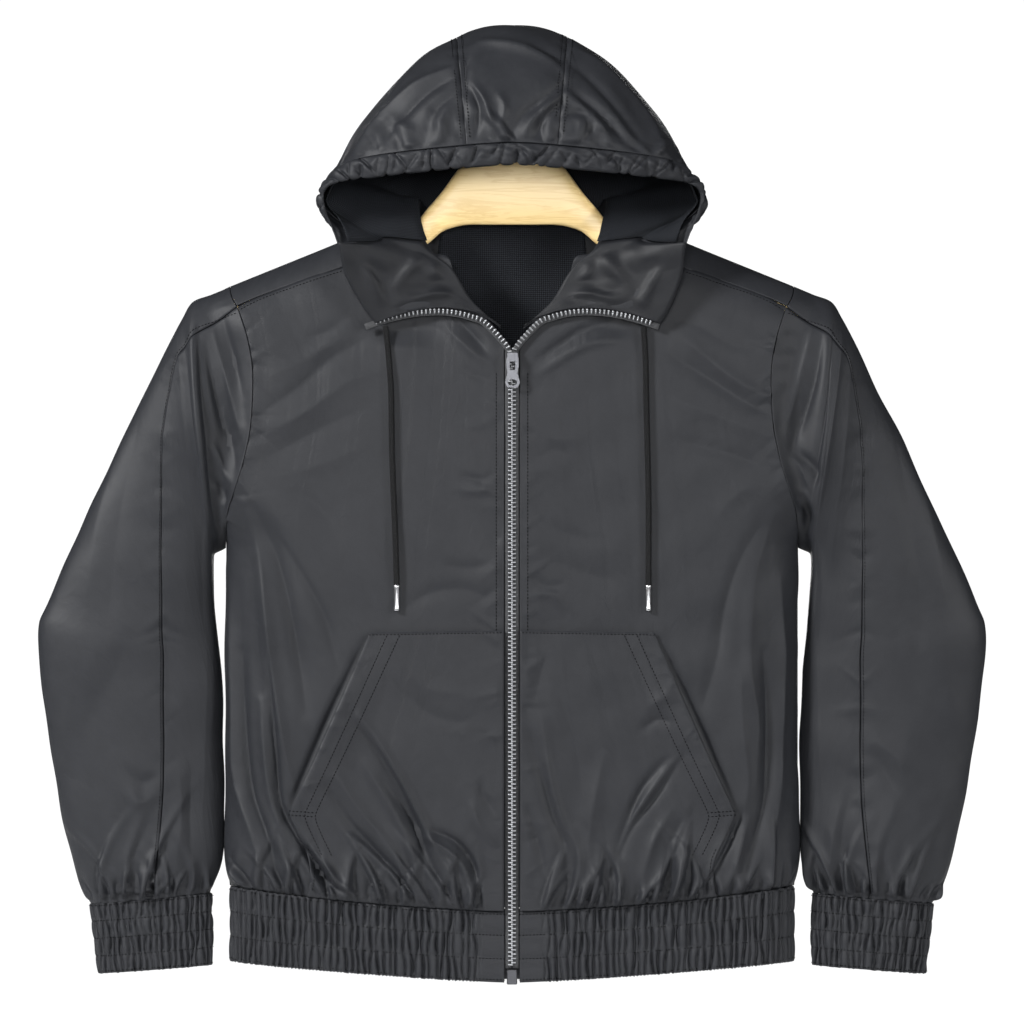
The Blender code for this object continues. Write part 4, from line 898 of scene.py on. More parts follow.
def add_node(tree, kind, **inputs):
    node = tree.nodes.new(kind)
    for key, value in inputs.items():
        node.inputs[key.replace("_", " ")].default_value = value
    return node


def math_node(tree, operation, first, second=None):
    node = tree.nodes.new("ShaderNodeMath")
    node.operation = operation
    for socket, value in ((0, first), (1, second)):
        if value is None:
            continue
        if isinstance(value, (int, float)):
            node.inputs[socket].default_value = value
        else:
            tree.links.new(value, node.inputs[socket])
    return node.outputs[0]


def multiply(tree, first, second):
    return math_node(tree, "MULTIPLY", first, second)


def add(tree, first, second):
    return math_node(tree, "ADD", first, second)


def noise(tree, place, **settings):
    """Values of a noise texture read at a place."""
    node = add_node(tree, "ShaderNodeTexNoise", **settings)
    tree.links.new(place, node.inputs["Vector"])
    return node.outputs["Fac"]


def ranged(tree, value, **limits):
    """A value brought from one range into another, 0 to 1 unless it is given."""
    node = add_node(tree, "ShaderNodeMapRange", **limits)
    tree.links.new(value, node.inputs["Value"])
    return node.outputs["Result"]


def colour_between(tree, factor, dark, light):
    mix = tree.nodes.new("ShaderNodeMix")
    mix.data_type = "RGBA"
    tree.links.new(factor, mix.inputs[0])
    mix.inputs[6].default_value = (*dark, 1.0)
    mix.inputs[7].default_value = (*light, 1.0)
    return mix.outputs[2]


def bump_from(tree, height, distance, strength, below=None):
    bump = add_node(tree, "ShaderNodeBump", Strength=strength, Distance=distance)
    tree.links.new(height, bump.inputs["Height"])
    if below is not None:
        tree.links.new(below, bump.inputs["Normal"])
    return bump.outputs["Normal"]


def dress(tree, shader, colour, normal, **values):
    """Give a shader its colour, its bump and its constant values."""
    tree.links.new(colour, shader.inputs["Base Color"])
    tree.links.new(normal, shader.inputs["Normal"])
    for key, value in values.items():
        shader.inputs[key.replace("_", " ")].default_value = value


def thread_coordinates(tree):
    """Grain of the cloth in millimetres: across, along, and both together."""
    place = tree.nodes.new("ShaderNodeUVMap")
    place.uv_map = "grain"
    parts = tree.nodes.new("ShaderNodeSeparateXYZ")
    tree.links.new(place.outputs["UV"], parts.inputs[0])
    return parts.outputs["X"], parts.outputs["Y"], place.outputs["UV"]


def wave_of(tree, value, pitch):
    return math_node(tree, "SINE", multiply(tree, value, 2 * math.pi / pitch))


def lattice_of(tree, pitch):
    """Two waves crossed on the bias of the grain."""
    across, along, _ = thread_coordinates(tree)
    first = wave_of(tree, add(tree, across, along), pitch)
    second = wave_of(tree, math_node(tree, "SUBTRACT", across, along), pitch)
    return multiply(tree, first, second)


def make_shell_cloth(name, dark, light):
    made, tree, shader = finish_named(name)
    across, along, grain = thread_coordinates(tree)
    twill = wave_of(tree, add(tree, across, multiply(tree, along, 0.62)), 0.92)
    slant = math_node(tree, "SUBTRACT", along, multiply(tree, across, 0.2))
    threads = wave_of(tree, slant, 0.71)
    weave = multiply(tree, add(tree, twill, multiply(tree, threads, 0.5)), 0.33)
    slub = noise(tree, grain, Scale=0.09, Detail=5.0, Roughness=0.62)
    fine = noise(tree, grain, Scale=0.62, Detail=3.0, Roughness=0.7)
    mottle = add(tree, multiply(tree, slub, 0.55), multiply(tree, fine, 0.45))
    shade = add(tree, multiply(tree, weave, 0.34), mottle)
    crumple = noise(tree, grain, Scale=0.055, Detail=3.0, Roughness=0.55, Distortion=0.6)
    soft = bump_from(tree, crumple, 0.0006, 0.6)
    dress(tree, shader, colour_between(tree, shade, dark, light),
          bump_from(tree, weave, 0.00006, 0.9, soft), Specular_IOR_Level=0.13)
    tree.links.new(ranged(tree, slub, To_Min=0.46, To_Max=0.54), shader.inputs["Roughness"])
    return made


def make_mesh_lining():
    made, tree, shader = finish_named("mesh_lining")
    hole = ranged(tree, lattice_of(tree, 3.3), From_Min=-0.25, From_Max=0.30)
    colour = colour_between(tree, hole, (0.0135, 0.0152, 0.0190), (0.0002, 0.0003, 0.0004))
    dress(tree, shader, colour, bump_from(tree, multiply(tree, hole, -1.0), 0.00035, 0.9),
          Roughness=0.8, Specular_IOR_Level=0.1)
    return made


def make_zip_tape():
    made, tree, shader = finish_named("zip_tape")
    across, along, _ = thread_coordinates(tree)
    weft = math_node(tree, "ABSOLUTE", wave_of(tree, across, 1.8))
    rib = wave_of(tree, add(tree, along, weft), 0.9)
    shade = add(tree, multiply(tree, rib, 0.5), 0.5)
    dress(tree, shader, colour_between(tree, shade, (0.010, 0.0105, 0.012), (0.022, 0.023, 0.026)),
          bump_from(tree, rib, 0.0001, 0.8), Roughness=0.7)
    return made


def make_cord_braid():
    made, tree, shader = finish_named("cord_braid")
    plait = lattice_of(tree, 1.96)
    fleck = noise(tree, thread_coordinates(tree)[2], Scale=0.9, Detail=2.0)
    spots = ranged(tree, add(tree, fleck, multiply(tree, plait, 0.07)),
                   From_Min=0.56, From_Max=0.66)
    colour = colour_between(tree, spots, (0.0010, 0.0011, 0.0014), (0.0125, 0.0130, 0.0146))
    dress(tree, shader, colour, bump_from(tree, plait, 0.0005, 0.9),
          Roughness=0.7, Specular_IOR_Level=0.2)
    return made


def make_metal(name, colour, roughness, metallic=1.0):
    made, tree, shader = finish_named(name)
    place = tree.nodes.new("ShaderNodeTexCoord").outputs["Object"]
    worn = noise(tree, place, Scale=900.0, Detail=3.0, Roughness=0.6)
    dark = tuple(0.7 * c for c in colour)
    light = tuple(min(1.25 * c, 1.0) for c in colour)
    dress(tree, shader, colour_between(tree, worn, dark, light),
          bump_from(tree, worn, 0.00004, 0.5), Metallic=metallic,
          Specular_IOR_Level=0.5 if metallic else 0.05)
    rough = ranged(tree, worn, To_Min=roughness - 0.06, To_Max=roughness + 0.08)
    tree.links.new(rough, shader.inputs["Roughness"])
    return made


def make_pale_wood():
    made, tree, shader = finish_named("pale_wood")
    stretch = add_node(tree, "ShaderNodeMapping", Scale=(4.0, 26.0, 42.0))
    place = tree.nodes.new("ShaderNodeTexCoord").outputs["Object"]
    tree.links.new(place, stretch.inputs["Vector"])
    drawn = stretch.outputs["Vector"]
    grain = noise(tree, drawn, Scale=1.6, Detail=6.0, Roughness=0.55, Distortion=1.6)
    rings = math_node(tree, "SINE", multiply(tree, grain, 34.0))
    line = ranged(tree, rings, From_Min=0.2, From_Max=1.0, To_Max=0.55)
    pores = noise(tree, drawn, Scale=9.0, Detail=4.0, Roughness=0.7)
    shade = add(tree, multiply(tree, line, 0.6), multiply(tree, pores, 0.35))
    dress(tree, shader, colour_between(tree, shade, (0.86, 0.66, 0.32), (0.60, 0.38, 0.13)),
          bump_from(tree, shade, 0.0002, 0.4), Roughness=0.48, Coat_Weight=0.15,
          Coat_Roughness=0.3)
    return made


SHELL = make_shell_cloth("shell_cloth", (0.0070, 0.0074, 0.0087), (0.0155, 0.0164, 0.0190))
# A darker copy of the shell cloth for the collar facing: painted shade for the same cloth lying in the
# turned-out collar's shadow.
SHELL_PAINTED_SHADE = make_shell_cloth("shell_cloth_painted_shade", (0.0042, 0.0045, 0.0054), (0.0098, 0.0104, 0.0122))
MESH = make_mesh_lining()
TAPE = make_zip_tape()
BRAID = make_cord_braid()
DARK_METAL = make_metal("dark_metal", (0.055, 0.056, 0.061), 0.36)
TIP_METAL = make_metal("cord_tip_metal", (0.42, 0.425, 0.435), 0.30)
TOOTH_METAL = make_metal("zip_teeth_finish", (0.21, 0.215, 0.225), 0.38, 0.7)
STEEL = make_metal("bright_steel", (0.62, 0.63, 0.65), 0.22)
WOOD = make_pale_wood()
# Near-black thread: the stitches are darkened below the cloth's own colour as painted shade for the
# stitch holes and grooves.
THREAD_PAINTED_SHADE = make_metal("sewing_thread_painted_shade", (0.0006, 0.0006, 0.0008), 0.95, 0.0)


# ------------------------------------------------------------ mesh making
def new_piece(name, points, faces, finish, grain=None):
    """A finished piece: points in millimetres, faces as quads or a ragged list."""
    mesh = bpy.data.meshes.new(name)
    mesh.from_pydata((np.asarray(points, float).reshape(-1, 3) * MM).tolist(), [], faces)
    if grain is not None:
        layer = mesh.uv_layers.new(name="grain")
        corner = np.empty(len(mesh.loops), dtype=np.int32)
        mesh.loops.foreach_get("vertex_index", corner)
        places = np.asarray(grain, np.float32).reshape(-1, 2)[corner]
        layer.data.foreach_set("uv", places.ravel())
    mesh.materials.append(finish)
    mesh.shade_smooth()
    piece = bpy.data.objects.new(name, mesh)
    scene.collection.objects.link(piece)
    return piece


def lay(piece, nodes):
    """Hang a piece on the jacket's body, in place of the solids it covers."""
    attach(piece, "jacket")
    if nodes:
        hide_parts(*nodes)
    return piece


def strip_faces(rows, columns, offset, closed, turned):
    """Quads of a grid of points; closed joins its last column to the first."""
    row, column = np.meshgrid(np.arange(rows - 1), np.arange(columns if closed else columns - 1),
                              indexing="ij")
    after = (column + 1) % columns
    quads = np.stack([row * columns + column, row * columns + after,
                      (row + 1) * columns + after, (row + 1) * columns + column], -1)
    quads = quads.reshape(-1, 4) + offset
    return quads[:, ::-1] if turned else quads


def closed_tube_faces(rows, columns, turned):
    """Faces of a tube of rings, with a cap at both ends."""
    faces = strip_faces(rows, columns, 0, True, turned).tolist()
    first = list(range(columns))
    last = list(range((rows - 1) * columns, rows * columns))
    return faces + ([first, last[::-1]] if turned else [first[::-1], last])


def grain_lengths(points, closed):
    """Distance across and along a grid of points, in millimetres."""
    u = row_lengths(points)
    v = row_lengths(points.swapaxes(0, 1)).T
    middle = points.shape[1] // 2
    u = u - (0 if closed else u[:, middle:middle + 1])
    return np.stack([u, v], -1)


def lowest_beside(outer, normals, reach, closed):
    """How far the surface falls below each point within a few grid steps."""
    pad = ((reach, reach), (0, 0) if closed else (reach, reach), (0, 0))
    wide = np.pad(outer, pad, mode="edge")
    if closed:
        wide = np.concatenate([wide[:, -reach:], wide, wide[:, :reach]], axis=1)
    rows, columns = outer.shape[:2]
    lowest = np.zeros((rows, columns))
    for i in range(2 * reach + 1):
        for j in range(2 * reach + 1):
            beside = wide[i:i + rows, j:j + columns]
            lowest = np.minimum(lowest, np.sum((beside - outer) * normals, axis=-1))
    return np.maximum(lowest, -4.0)


def rim_faces(fine, coarse, step, turned):
    """Faces that join an edge of the outer layer to the wider-spaced inner one."""
    faces = []
    for k in range(len(coarse) - 1):
        face = [fine[k * step + i] for i in range(step + 1)] + [coarse[k + 1], coarse[k]]
        faces.append(face[::-1] if turned else face)
    return faces


def cloth_piece(name, outer, outward, nodes, flat, held, area=None, rests_on=("hanger",), step=2,
                closed=False, thickness=CLOTH, finish=SHELL, slot="shell_cloth"):
    """Closed thin shell under a grid of outer points; its inner layer is coarser."""
    rows, columns = outer.shape[:2]
    if closed:
        ring = np.arange(-1, columns + 1) % columns
        normals = grid_normals(outer[:, ring], outward[:, ring])[:, 1:-1]
    else:
        normals = grid_normals(outer, outward)
    drop = lowest_beside(outer, normals, step - 1, closed)
    inner = (outer - (thickness - drop)[..., None] * normals)[::step, ::step]
    few_rows, few = inner.shape[:2]
    base = rows * columns
    faces = strip_faces(rows, columns, 0, closed, False).tolist()
    faces += strip_faces(few_rows, few, base, closed, True).tolist()
    fine = np.arange(base).reshape(rows, columns)
    coarse = base + np.arange(few_rows * few).reshape(few_rows, few)
    if closed:
        fine, coarse = np.hstack([fine, fine[:, :1]]), np.hstack([coarse, coarse[:, :1]])
    edges = [(fine[0], coarse[0], True), (fine[-1], coarse[-1], False)]
    if not closed:
        edges += [(fine[:, 0], coarse[:, 0], False), (fine[:, -1], coarse[:, -1], True)]
    for fine_edge, coarse_edge, turned in edges:
        faces += rim_faces(fine_edge.tolist(), coarse_edge.tolist(), step, turned)
    row, column = rows // 2, columns // 2
    corners = outer[row:row + 2, column:column + 2].reshape(-1, 3)
    facing = np.cross(corners[1] - corners[0], corners[2] - corners[0])
    if np.dot(facing, normals[row, column]) < 0:
        faces = [one[::-1] for one in faces]
    grain = grain_lengths(outer, closed)
    points = np.concatenate([outer.reshape(-1, 3), inner.reshape(-1, 3)])
    grain = np.concatenate([grain.reshape(-1, 2), grain[::step, ::step].reshape(-1, 2)])
    piece = lay(new_piece(name, points, faces, finish, grain), nodes)


def tube_piece(name, path, radii, finish, sides):
    """Round bar along a path; radii may change along it."""
    path = np.asarray(path, float)
    radii = np.broadcast_to(radii, len(path))
    tangent = unit(np.gradient(path, axis=0))
    across = np.zeros_like(path)
    start = np.array([0.0, 1.0, 0.0])
    for i in range(len(path)):
        start = start - tangent[i] * np.dot(start, tangent[i])
        start = start / np.linalg.norm(start)
        across[i] = start
    up = np.cross(tangent, across)
    angle = np.linspace(0, 2 * math.pi, sides, endpoint=False)[:, None]
    ring = across[:, None] * np.cos(angle)[None] + up[:, None] * np.sin(angle)[None]
    points = path[:, None] + ring * radii[:, None, None]
    u = np.broadcast_to(angle[:, 0] / (2 * math.pi) * CORD_GIRTH, (len(path), sides))
    v = np.broadcast_to(running_length(path)[:, None], u.shape)
    return new_piece(name, points, closed_tube_faces(len(path), sides, True), finish,
                     np.stack([u, v], -1))


# ------------------------------------------------------------------ cords
def cord_points(side):
    """A few points of a cord's middle, hung clear of the front."""
    knots = np.array(CORD_ROUTES[side])
    points, _ = body_place(knots[:, 0], knots[:, 1], False)
    points[:, 1] -= CORD_RADIUS + knots[:, 2]
    return points


def make_cords():
    for side, word in SIDES:
        clear = path_points(cord_points(side), 90)
        path = mirrored(clear, side)
        height = front_relief(side, clear[:, 0], clear[:, 2])
        path[:, 1] -= np.maximum(height, 0.0) * ease((clear[:, 2] + 250.0) / -25.0)
        path[:, 0] += side * 0.5 * np.sin(path[:, 2] / 31.0 + side)
        cord = tube_piece("drawcord_" + word + "_braided", path, CORD_RADIUS, BRAID, 14)
        lay(cord, ["drawcord_" + word])
        share = np.array([0.0, 0.01, 0.10, 0.13, 0.16, 0.84, 0.87, 0.92, 0.985, 1.0])
        radius = np.array([2.3, 2.55, 2.55, 2.3, 2.2, 2.2, 2.3, 2.5, 2.4, 1.9])
        down = np.stack([0 * share, 0 * share, 0.3 - AGLET_LENGTH * share], 1)
        tip = tube_piece("cord_tip_" + word, path[-1] + down, radius, TIP_METAL, 20)
        lay(tip, ["aglet_" + word])


# ------------------------------------------------------------ body panels
def toward_band(count, crowd):
    """Shares of a height, closer together near the elastic at 0."""
    share = np.linspace(0, 1, count)
    return (share + crowd * share ** 2 + 3.0 * crowd * share ** 3 / 2) / (1.0 + 2.5 * crowd)


def make_front(side, word):
    flat = front_grid(toward_side(165, 1.3), toward_band(249, 0.2))
    x, z = flat[..., 0], flat[..., 1]
    points, outward = body_place(x, z, False)
    points[..., 1] -= SEAM / 2 * (1 - ease(-points[..., 1] / 6.0))
    points += outward * front_relief(side, x, z)[..., None]
    cloth_piece("front_panel_" + word, mirrored(points, side), mirrored(outward, side),
                ["front_" + word], (250, 610), "hung", area=0.118, step=4)


def whole_width(half):
    """Columns of both sides from those of the left half, whose first is the middle."""
    return np.concatenate([mirrored(half, -1)[:, :0:-1], half], axis=1)


def make_back():
    half = back_grid(toward_side(101, 1.3), toward_side(169, 1.15))
    drop = arc_to_drop(half[..., 1])
    x, z, back = half[..., 0], crest_z(half[..., 0]) - np.abs(drop), drop >= 0.0
    points, outward = body_place(x, z, back)
    points[..., 1] += np.where(back & (np.abs(points[..., 1]) < 6.0), SEAM / 2, 0.0)
    points, outward = whole_width(points), whole_width(outward)
    share = ease((points[..., 1] - 2.0) / 14.0)
    height = back_relief(points[..., 0], points[..., 2]) * share
    cloth_piece("back_panel", points + outward * height[..., None], outward,
                ["back"], (500, 640), "hung", area=0.31, step=4)


# ---------------------------------------------------------------- sleeves
SLEEVE_SEAM = [(294, -240), (299, -320), (299.5, -450), (299, -560), (300, -630), (307, -690)]


def sleeve_relief(side, points):
    """Folds of a sleeve at points given from the middle outward."""
    x, z = points[..., 0], points[..., 2]
    front = ease((-points[..., 1] - 1.0) / 8.0)
    rear = ease((points[..., 1] - 1.0) / 8.0)
    main = 1.2 * crease_height(RIGHT_SLEEVE if side < 0 else LEFT_SLEEVE, x, z) * front
    main += 2.0 * crease_height(SLEEVE_BEHIND, x + 6.0 * side, z) * rear
    main += soft_waves(side * x, z, 41 + side, 80.0, 0.5)
    hole = seam_pucker(armhole_seam(12.0, 2.0), x, z, 500 + side)
    seam = seam_pucker(((10.0, 1.5, 9.0, SLEEVE_SEAM),), x, z, 520 + side)
    main += (hole + seam) * front
    above = z + 713.0 - 0.085 * (310.0 - x)
    where = x - 251.0
    before = Gather(120.0, 7.5, 61 + side, reach=(14.0, 62.0), height=(4.0, 9.0), fan=0.5)
    behind = Gather(120.0, 9.0, 64 + side, reach=(12.0, 62.0), height=(3.0, 7.0), fan=0.5)
    held = 0.1 + 0.9 * ease(above / 9.0)
    main += held * (before.rise(where, above) * front + behind.rise(where, above) * rear)
    return main - 1.6 * np.exp(-np.maximum(above, 0) / 9.0)


def sleeve_middle(ring):
    """Points on the sleeve's own middle line."""
    return (sleeve_surface(ring, 0 * ring) + sleeve_surface(ring, 0 * ring + math.pi)) * 0.5


def make_sleeve(side, word, behind):
    ring = np.concatenate([np.linspace(0, 2, 33)[:-1], np.linspace(2, len(SLEEVE_RINGS) - 1, 185)])
    seam = sleeve_seam_angle(ring)
    edge, gap = 0.012, 0.006
    if behind:
        start, end, count = seam + gap, np.full(len(ring), 2 * math.pi - edge), 125
    else:
        start, end, count = np.full(len(ring), edge), seam - gap, 81
    angle = start[:, None] + (end - start)[:, None] * np.linspace(0, 1, count)[None]
    grid = ring[:, None] + 0 * angle
    points = sleeve_surface(grid, angle)
    normals = grid_normals(points, points - sleeve_middle(grid))
    height = sleeve_relief(side, points) * ease(ring / 0.6)[:, None]
    points[..., 2] -= 1.6 * ease((ring - 14.6) / 0.4)[:, None]
    points = points + normals * height[..., None]
    limit, y = 0.04, points[..., 1]
    if behind:
        points[..., 1] = np.where(angle > 1.5 * math.pi, np.maximum(y, limit), y)
        name, node, flat, area = "sleeve_rear_panel_", "sleeve_back_", (230, 560), 0.110
    else:
        points[..., 1] = np.where(angle < 0.5 * math.pi, np.minimum(y, -limit), y)
        name, node, flat, area = "sleeve_fore_panel_", "sleeve_front_", (110, 560), 0.038
    cloth_piece(name + word, mirrored(points, side), mirrored(normals, side),
                [node + word], flat, "hung", area=area, step=4)


# ------------------------------------------------------------ elastic bands
class ElasticFolds:
    """Narrow upright folds of an elastic band, uneven in each sewn row."""

    def __init__(self, length, pitch, rows, seed, closed=False):
        rng = np.random.default_rng(seed)
        self.count = int(round(length / pitch))
        self.pitch = length / self.count
        self.length, self.rows, self.closed = length, rows, closed
        even = (np.arange(self.count) + 0.5) * self.pitch
        self.place = even[None] + rng.uniform(-0.30, 0.30, (rows + 1, self.count)) * self.pitch
        self.height = rng.uniform(0.45, 1.0, (rows, self.count))
        self.lean = rng.uniform(-0.22, 0.22, (rows, self.count)) * self.pitch

    def height_at(self, where, down):
        """Depth of the folds and the puff of the rows between two seams.

        where is the distance along the band, down 0 at its top and 1 at its edge.
        """
        row = np.clip((down * self.rows).astype(int), 0, self.rows - 1)
        share = down * self.rows - row
        total = np.zeros(np.shape(where))
        for number in range(self.rows):
            inside = row == number
            if not inside.any():
                continue
            w, s = where[inside], share[inside]
            added = np.zeros(len(w))
            for i in range(self.count):
                start, end = self.place[number][i], self.place[number + 1][i]
                bowed = self.lean[number][i] * np.sin(math.pi * s)
                away = w - (start + (end - start) * s + bowed)
                if self.closed:
                    away = (away + self.length / 2) % self.length - self.length / 2
                added += self.height[number][i] * np.exp(-np.abs(away) / (0.22 * self.pitch))
            total[inside] = added
        puff = np.abs(np.sin(math.pi * self.rows * down)) ** 0.45
        return total, puff


def outline_x(start, end, count, back):
    """x values evenly spaced along the hem's outline, and their distances."""
    fine = start + (end - start) * (1.0 - (1.0 - np.linspace(0, 1, 800)) ** 3.0)
    depth = body_depth(fine, np.full(800, BAND_MIDDLE_Z), back)
    length = running_length(np.stack([fine, depth], 1))
    wanted = np.linspace(0, length[-1], count)
    return np.interp(wanted, length, fine), wanted


def hem_band(side, back, inset, rows):
    """Surface of the hem band over its rows of elastic, in front or behind."""
    end = side_x(BAND_MIDDLE_Z) - inset
    if back:
        half, length = outline_x(0.0, end, 257, True)
        x = np.concatenate([-half[:0:-1], half])
        where = np.concatenate([-length[:0:-1], length]) + length[-1]
        folds, quiet = ElasticFolds(where[-1], 6.5, 3, 75), np.ones(len(x))
    else:
        x, where = outline_x(ZIP_EDGE, end, 329, False)
        folds, quiet = ElasticFolds(where[-1], 5.6, 3, 70 + side), ease((x - 24.0) / 10.0)
    down = np.linspace(0, 1, rows)
    top, bottom = hem_top_z(x), hem_bottom_z(x)
    z = top[None] + (bottom - top)[None] * down[:, None]
    points, normals = body_place(np.broadcast_to(x, z.shape), z, back)
    crest, puff = folds.height_at(np.broadcast_to(where, z.shape),
                                  np.broadcast_to(down[:, None], z.shape))
    height = 0.6 + 1.2 * puff - (2.8 + 4.8 * puff) * crest
    height = height * quiet[None] + (1.0 - quiet[None]) * 0.5 * puff
    points = points + normals * height[..., None]
    sign = 1.0 if back else -1.0
    points[..., 1] = sign * np.maximum(sign * points[..., 1], SEAM / 2)
    edge = np.exp(-((down - 1.0) / 0.06) ** 2)[:, None]
    points[..., 2] += edge * (np.sin(where * 2.1) * 0.6)[None] * quiet[None]
    return mirrored(points, side), mirrored(normals, side)


def make_hem(side, word):
    cloth_piece("hem_band_front_" + word, *hem_band(side, False, EDGE_INSET, 37),
                ["hem_front_" + word], (330, 62), "gathered", rests_on=("front_panel_" + word,))


def make_hem_back():
    cloth_piece("hem_band_back", *hem_band(1, True, EDGE_INSET, 29),
                ["hem_back"], (700, 62), "gathered", rests_on=("back_panel",))


def cuff_surface(side, angle, down):
    """Surface of a cuff over its rows of elastic; angle as on the sleeve."""
    folds = ElasticFolds(240.0, 5.4, 4, 80 + side, closed=True)
    ends = np.array(CUFF_TOP)[None] + (np.array(CUFF_BOTTOM) - CUFF_TOP)[None] * down[:, None]
    outer_end, inner_end = ends[:, None, 0:2], ends[:, None, 2:4]
    share = ((1.0 - np.cos(angle)) / 2.0)[None, :, None]
    flat = inner_end + (outer_end - inner_end) * share
    wide, deep = CUFF_HALF_WIDTH * np.cos(angle), CUFF_HALF_DEPTH * np.sin(angle)
    base = np.stack([flat[..., 0], np.broadcast_to(-deep, flat.shape[:2]), flat[..., 1]], axis=-1)
    outward = unit(np.stack([-np.cos(angle) * CUFF_HALF_DEPTH,
                             -np.sin(angle) * CUFF_HALF_WIDTH, 0 * angle], 1))
    outward = np.broadcast_to(outward, base.shape)
    where = np.cumsum(np.hypot(np.gradient(wide), np.gradient(deep)))
    where = where / where[-1] * folds.length
    crest, puff = folds.height_at(np.broadcast_to(where, base.shape[:2]),
                                  np.broadcast_to(down[:, None], base.shape[:2]))
    height = 0.6 + 1.2 * puff - (3.2 + 4.8 * puff) * crest
    return mirrored(base + outward * height[..., None], side), mirrored(outward, side)


def make_cuff(side, word):
    angle = np.linspace(0, 2 * math.pi, 320, endpoint=False)
    cloth_piece("cuff_band_" + word, *cuff_surface(side, angle, np.linspace(0, 1, 41)),
                ["cuff_" + word], (310, 62), "gathered", closed=True,
                rests_on=("sleeve_rear_panel_" + word,))


# ------------------------------------------------------------------- hood
def hood_relief(points, normals, arch, behind_rim):
    """Folds of the hood shell; behind_rim is the distance in from the casing seam."""
    x, y, z = points[..., 0], points[..., 1], points[..., 2]
    fold = from_zip(arch)
    facing = ease((0.25 - normals[..., 1]) / 0.4) * ease((fold - 4.6) / 0.8)
    height = 1.1 * crease_height(HOOD_CREASES, x, z) * facing
    height += soft_waves(x + y, z - y, 91, 60.0, 0.9)
    height += (1.0 - facing) * soft_waves(y * 1.3, z, 92, 55.0, 0.9)
    gather = Gather(380.0, 9.5, 93, reach=(7.0, 40.0), height=(1.4, 4.2))
    height += gather.rise((arch - 4.0) * 38.0, behind_rim) * ease((fold - 4.5) / 0.8)
    for seam in (HOOD_SEAM, HOOD_END - HOOD_SEAM):
        away = np.abs(arch - seam) * 62.0
        uneven = soft_waves(x * 0 + behind_rim, away, int(seam * 7), 15.0, 0.9)
        height += (uneven * 0.8 - 0.7) * np.exp(-away / 4.5)
    return height


def hood_grid(arch, first_width, shares, last=1.0, grown=None):
    """Arch and down values of a grid that starts a width in from the rim."""
    low = rim_share(arch, first_width)
    down = low[:, None] + (last - low)[:, None] * shares[None]
    grid = arch[:, None] + 0 * down
    if grown is not None:
        more = FACING_RISE * grown(from_zip(grid)) * down ** 2.8
        grid = grid + np.where(grid < HOOD_MIDDLE, more, -more)
    return grid, down


def make_hood_shell(word, start, end, count, flat, area):
    arch = np.linspace(start, end, count)
    grid, down = hood_grid(arch, BRIM_WIDTH + 0.4, np.linspace(0, 1, 121) ** 1.25)
    points, normals = hood_place(grid, down)
    behind = row_lengths(points)
    height = hood_relief(points, normals, grid, behind) * ease(behind / 6.0)
    cloth_piece("hood_panel_" + word, points + normals * height[..., None], normals,
                ["hood_" + word], flat, "hung", area=area, step=4)


def make_hood_mesh(word, start, end, count, flat, area):
    arch = np.linspace(max(start - 0.03, FACING_END + 0.02),
                       min(end + 0.03, HOOD_END - FACING_END - 0.02), count)
    grid, down = hood_grid(arch, BRIM_WIDTH - 9.0, np.linspace(0, 1, 51),
                           grown=lambda fold: np.clip((7.0 - fold) / (7.0 - FACING_END), 0, 1))
    points, normals = hood_place(grid, down)
    behind = row_lengths(points)
    waves = soft_waves(points[..., 0], points[..., 2] + points[..., 1], 97, 45.0, 0.7)
    height = 0.35 * hood_relief(points, normals, grid, behind) + 1.2 * waves
    height = np.minimum(height, 0.8) * ease(behind / 6.0) - MESH_INSET
    cloth_piece("hood_mesh_" + word, points + normals * height[..., None], normals,
                ["hood_lining_" + word], flat, "hung", area=area,
                thickness=LINING, finish=MESH, slot="mesh_lining")


def make_hood():
    gap = 0.002
    panels = (
        # name, arches, columns of shell and mesh, flat sizes and areas of both
        ("right", 0.0, HOOD_SEAM - gap, 141, 61, (280, 330), 0.042, (240, 300), 0.033),
        ("centre", HOOD_SEAM + gap, HOOD_END - HOOD_SEAM - gap, 61, 21,
         (100, 330), 0.031, (100, 300), 0.028),
        ("left", HOOD_END - HOOD_SEAM + gap, HOOD_END, 141, 61,
         (280, 330), 0.042, (240, 300), 0.033),
    )
    for word, start, end, shell_count, mesh_count, shell, shell_area, mesh, mesh_area in panels:
        make_hood_shell(word, start, end, shell_count, shell, shell_area)
        make_hood_mesh(word, start, end, mesh_count, mesh, mesh_area)
    make_facing(-1, "right", 0.0, FACING_END)
    make_facing(1, "left", HOOD_END - FACING_END, HOOD_END)
    make_brim()
    make_neck_tape()


def make_facing(side, word, start, end):
    """Shell cloth inside the turned-out collar, in a darker copy of the shell finish that is painted
    shade; its top runs level toward the neck.
    """
    arch = np.linspace(start, end, 81)
    share = np.linspace(0, 1, 71)
    grid, down = hood_grid(arch, 0.0, share, 0.99, grown=lambda fold: fold / FACING_END)
    points, normals = hood_place(grid, down)
    x, z = points[..., 0], points[..., 2]
    height = soft_waves(x, z, 111 + side, 30.0, 0.6)
    height -= 1.9 * crease_height(COLLAR_CREASES, side * x, z)
    edge = np.minimum(np.minimum(share, 1 - share) * 60.0, 12.0)[None] / 12.0
    edge = edge * ease(np.minimum(arch - start, end - arch) * 6.0 + 0.15)[:, None]
    height = np.clip(height, -3.0, 1.0) * edge - 2.5
    cloth_piece("collar_lining_" + word, points + normals * height[..., None], normals,
                ["collar_facing_" + word], (100, 85), "hung", area=0.0068,
                thickness=LINING, finish=SHELL_PAINTED_SHADE)


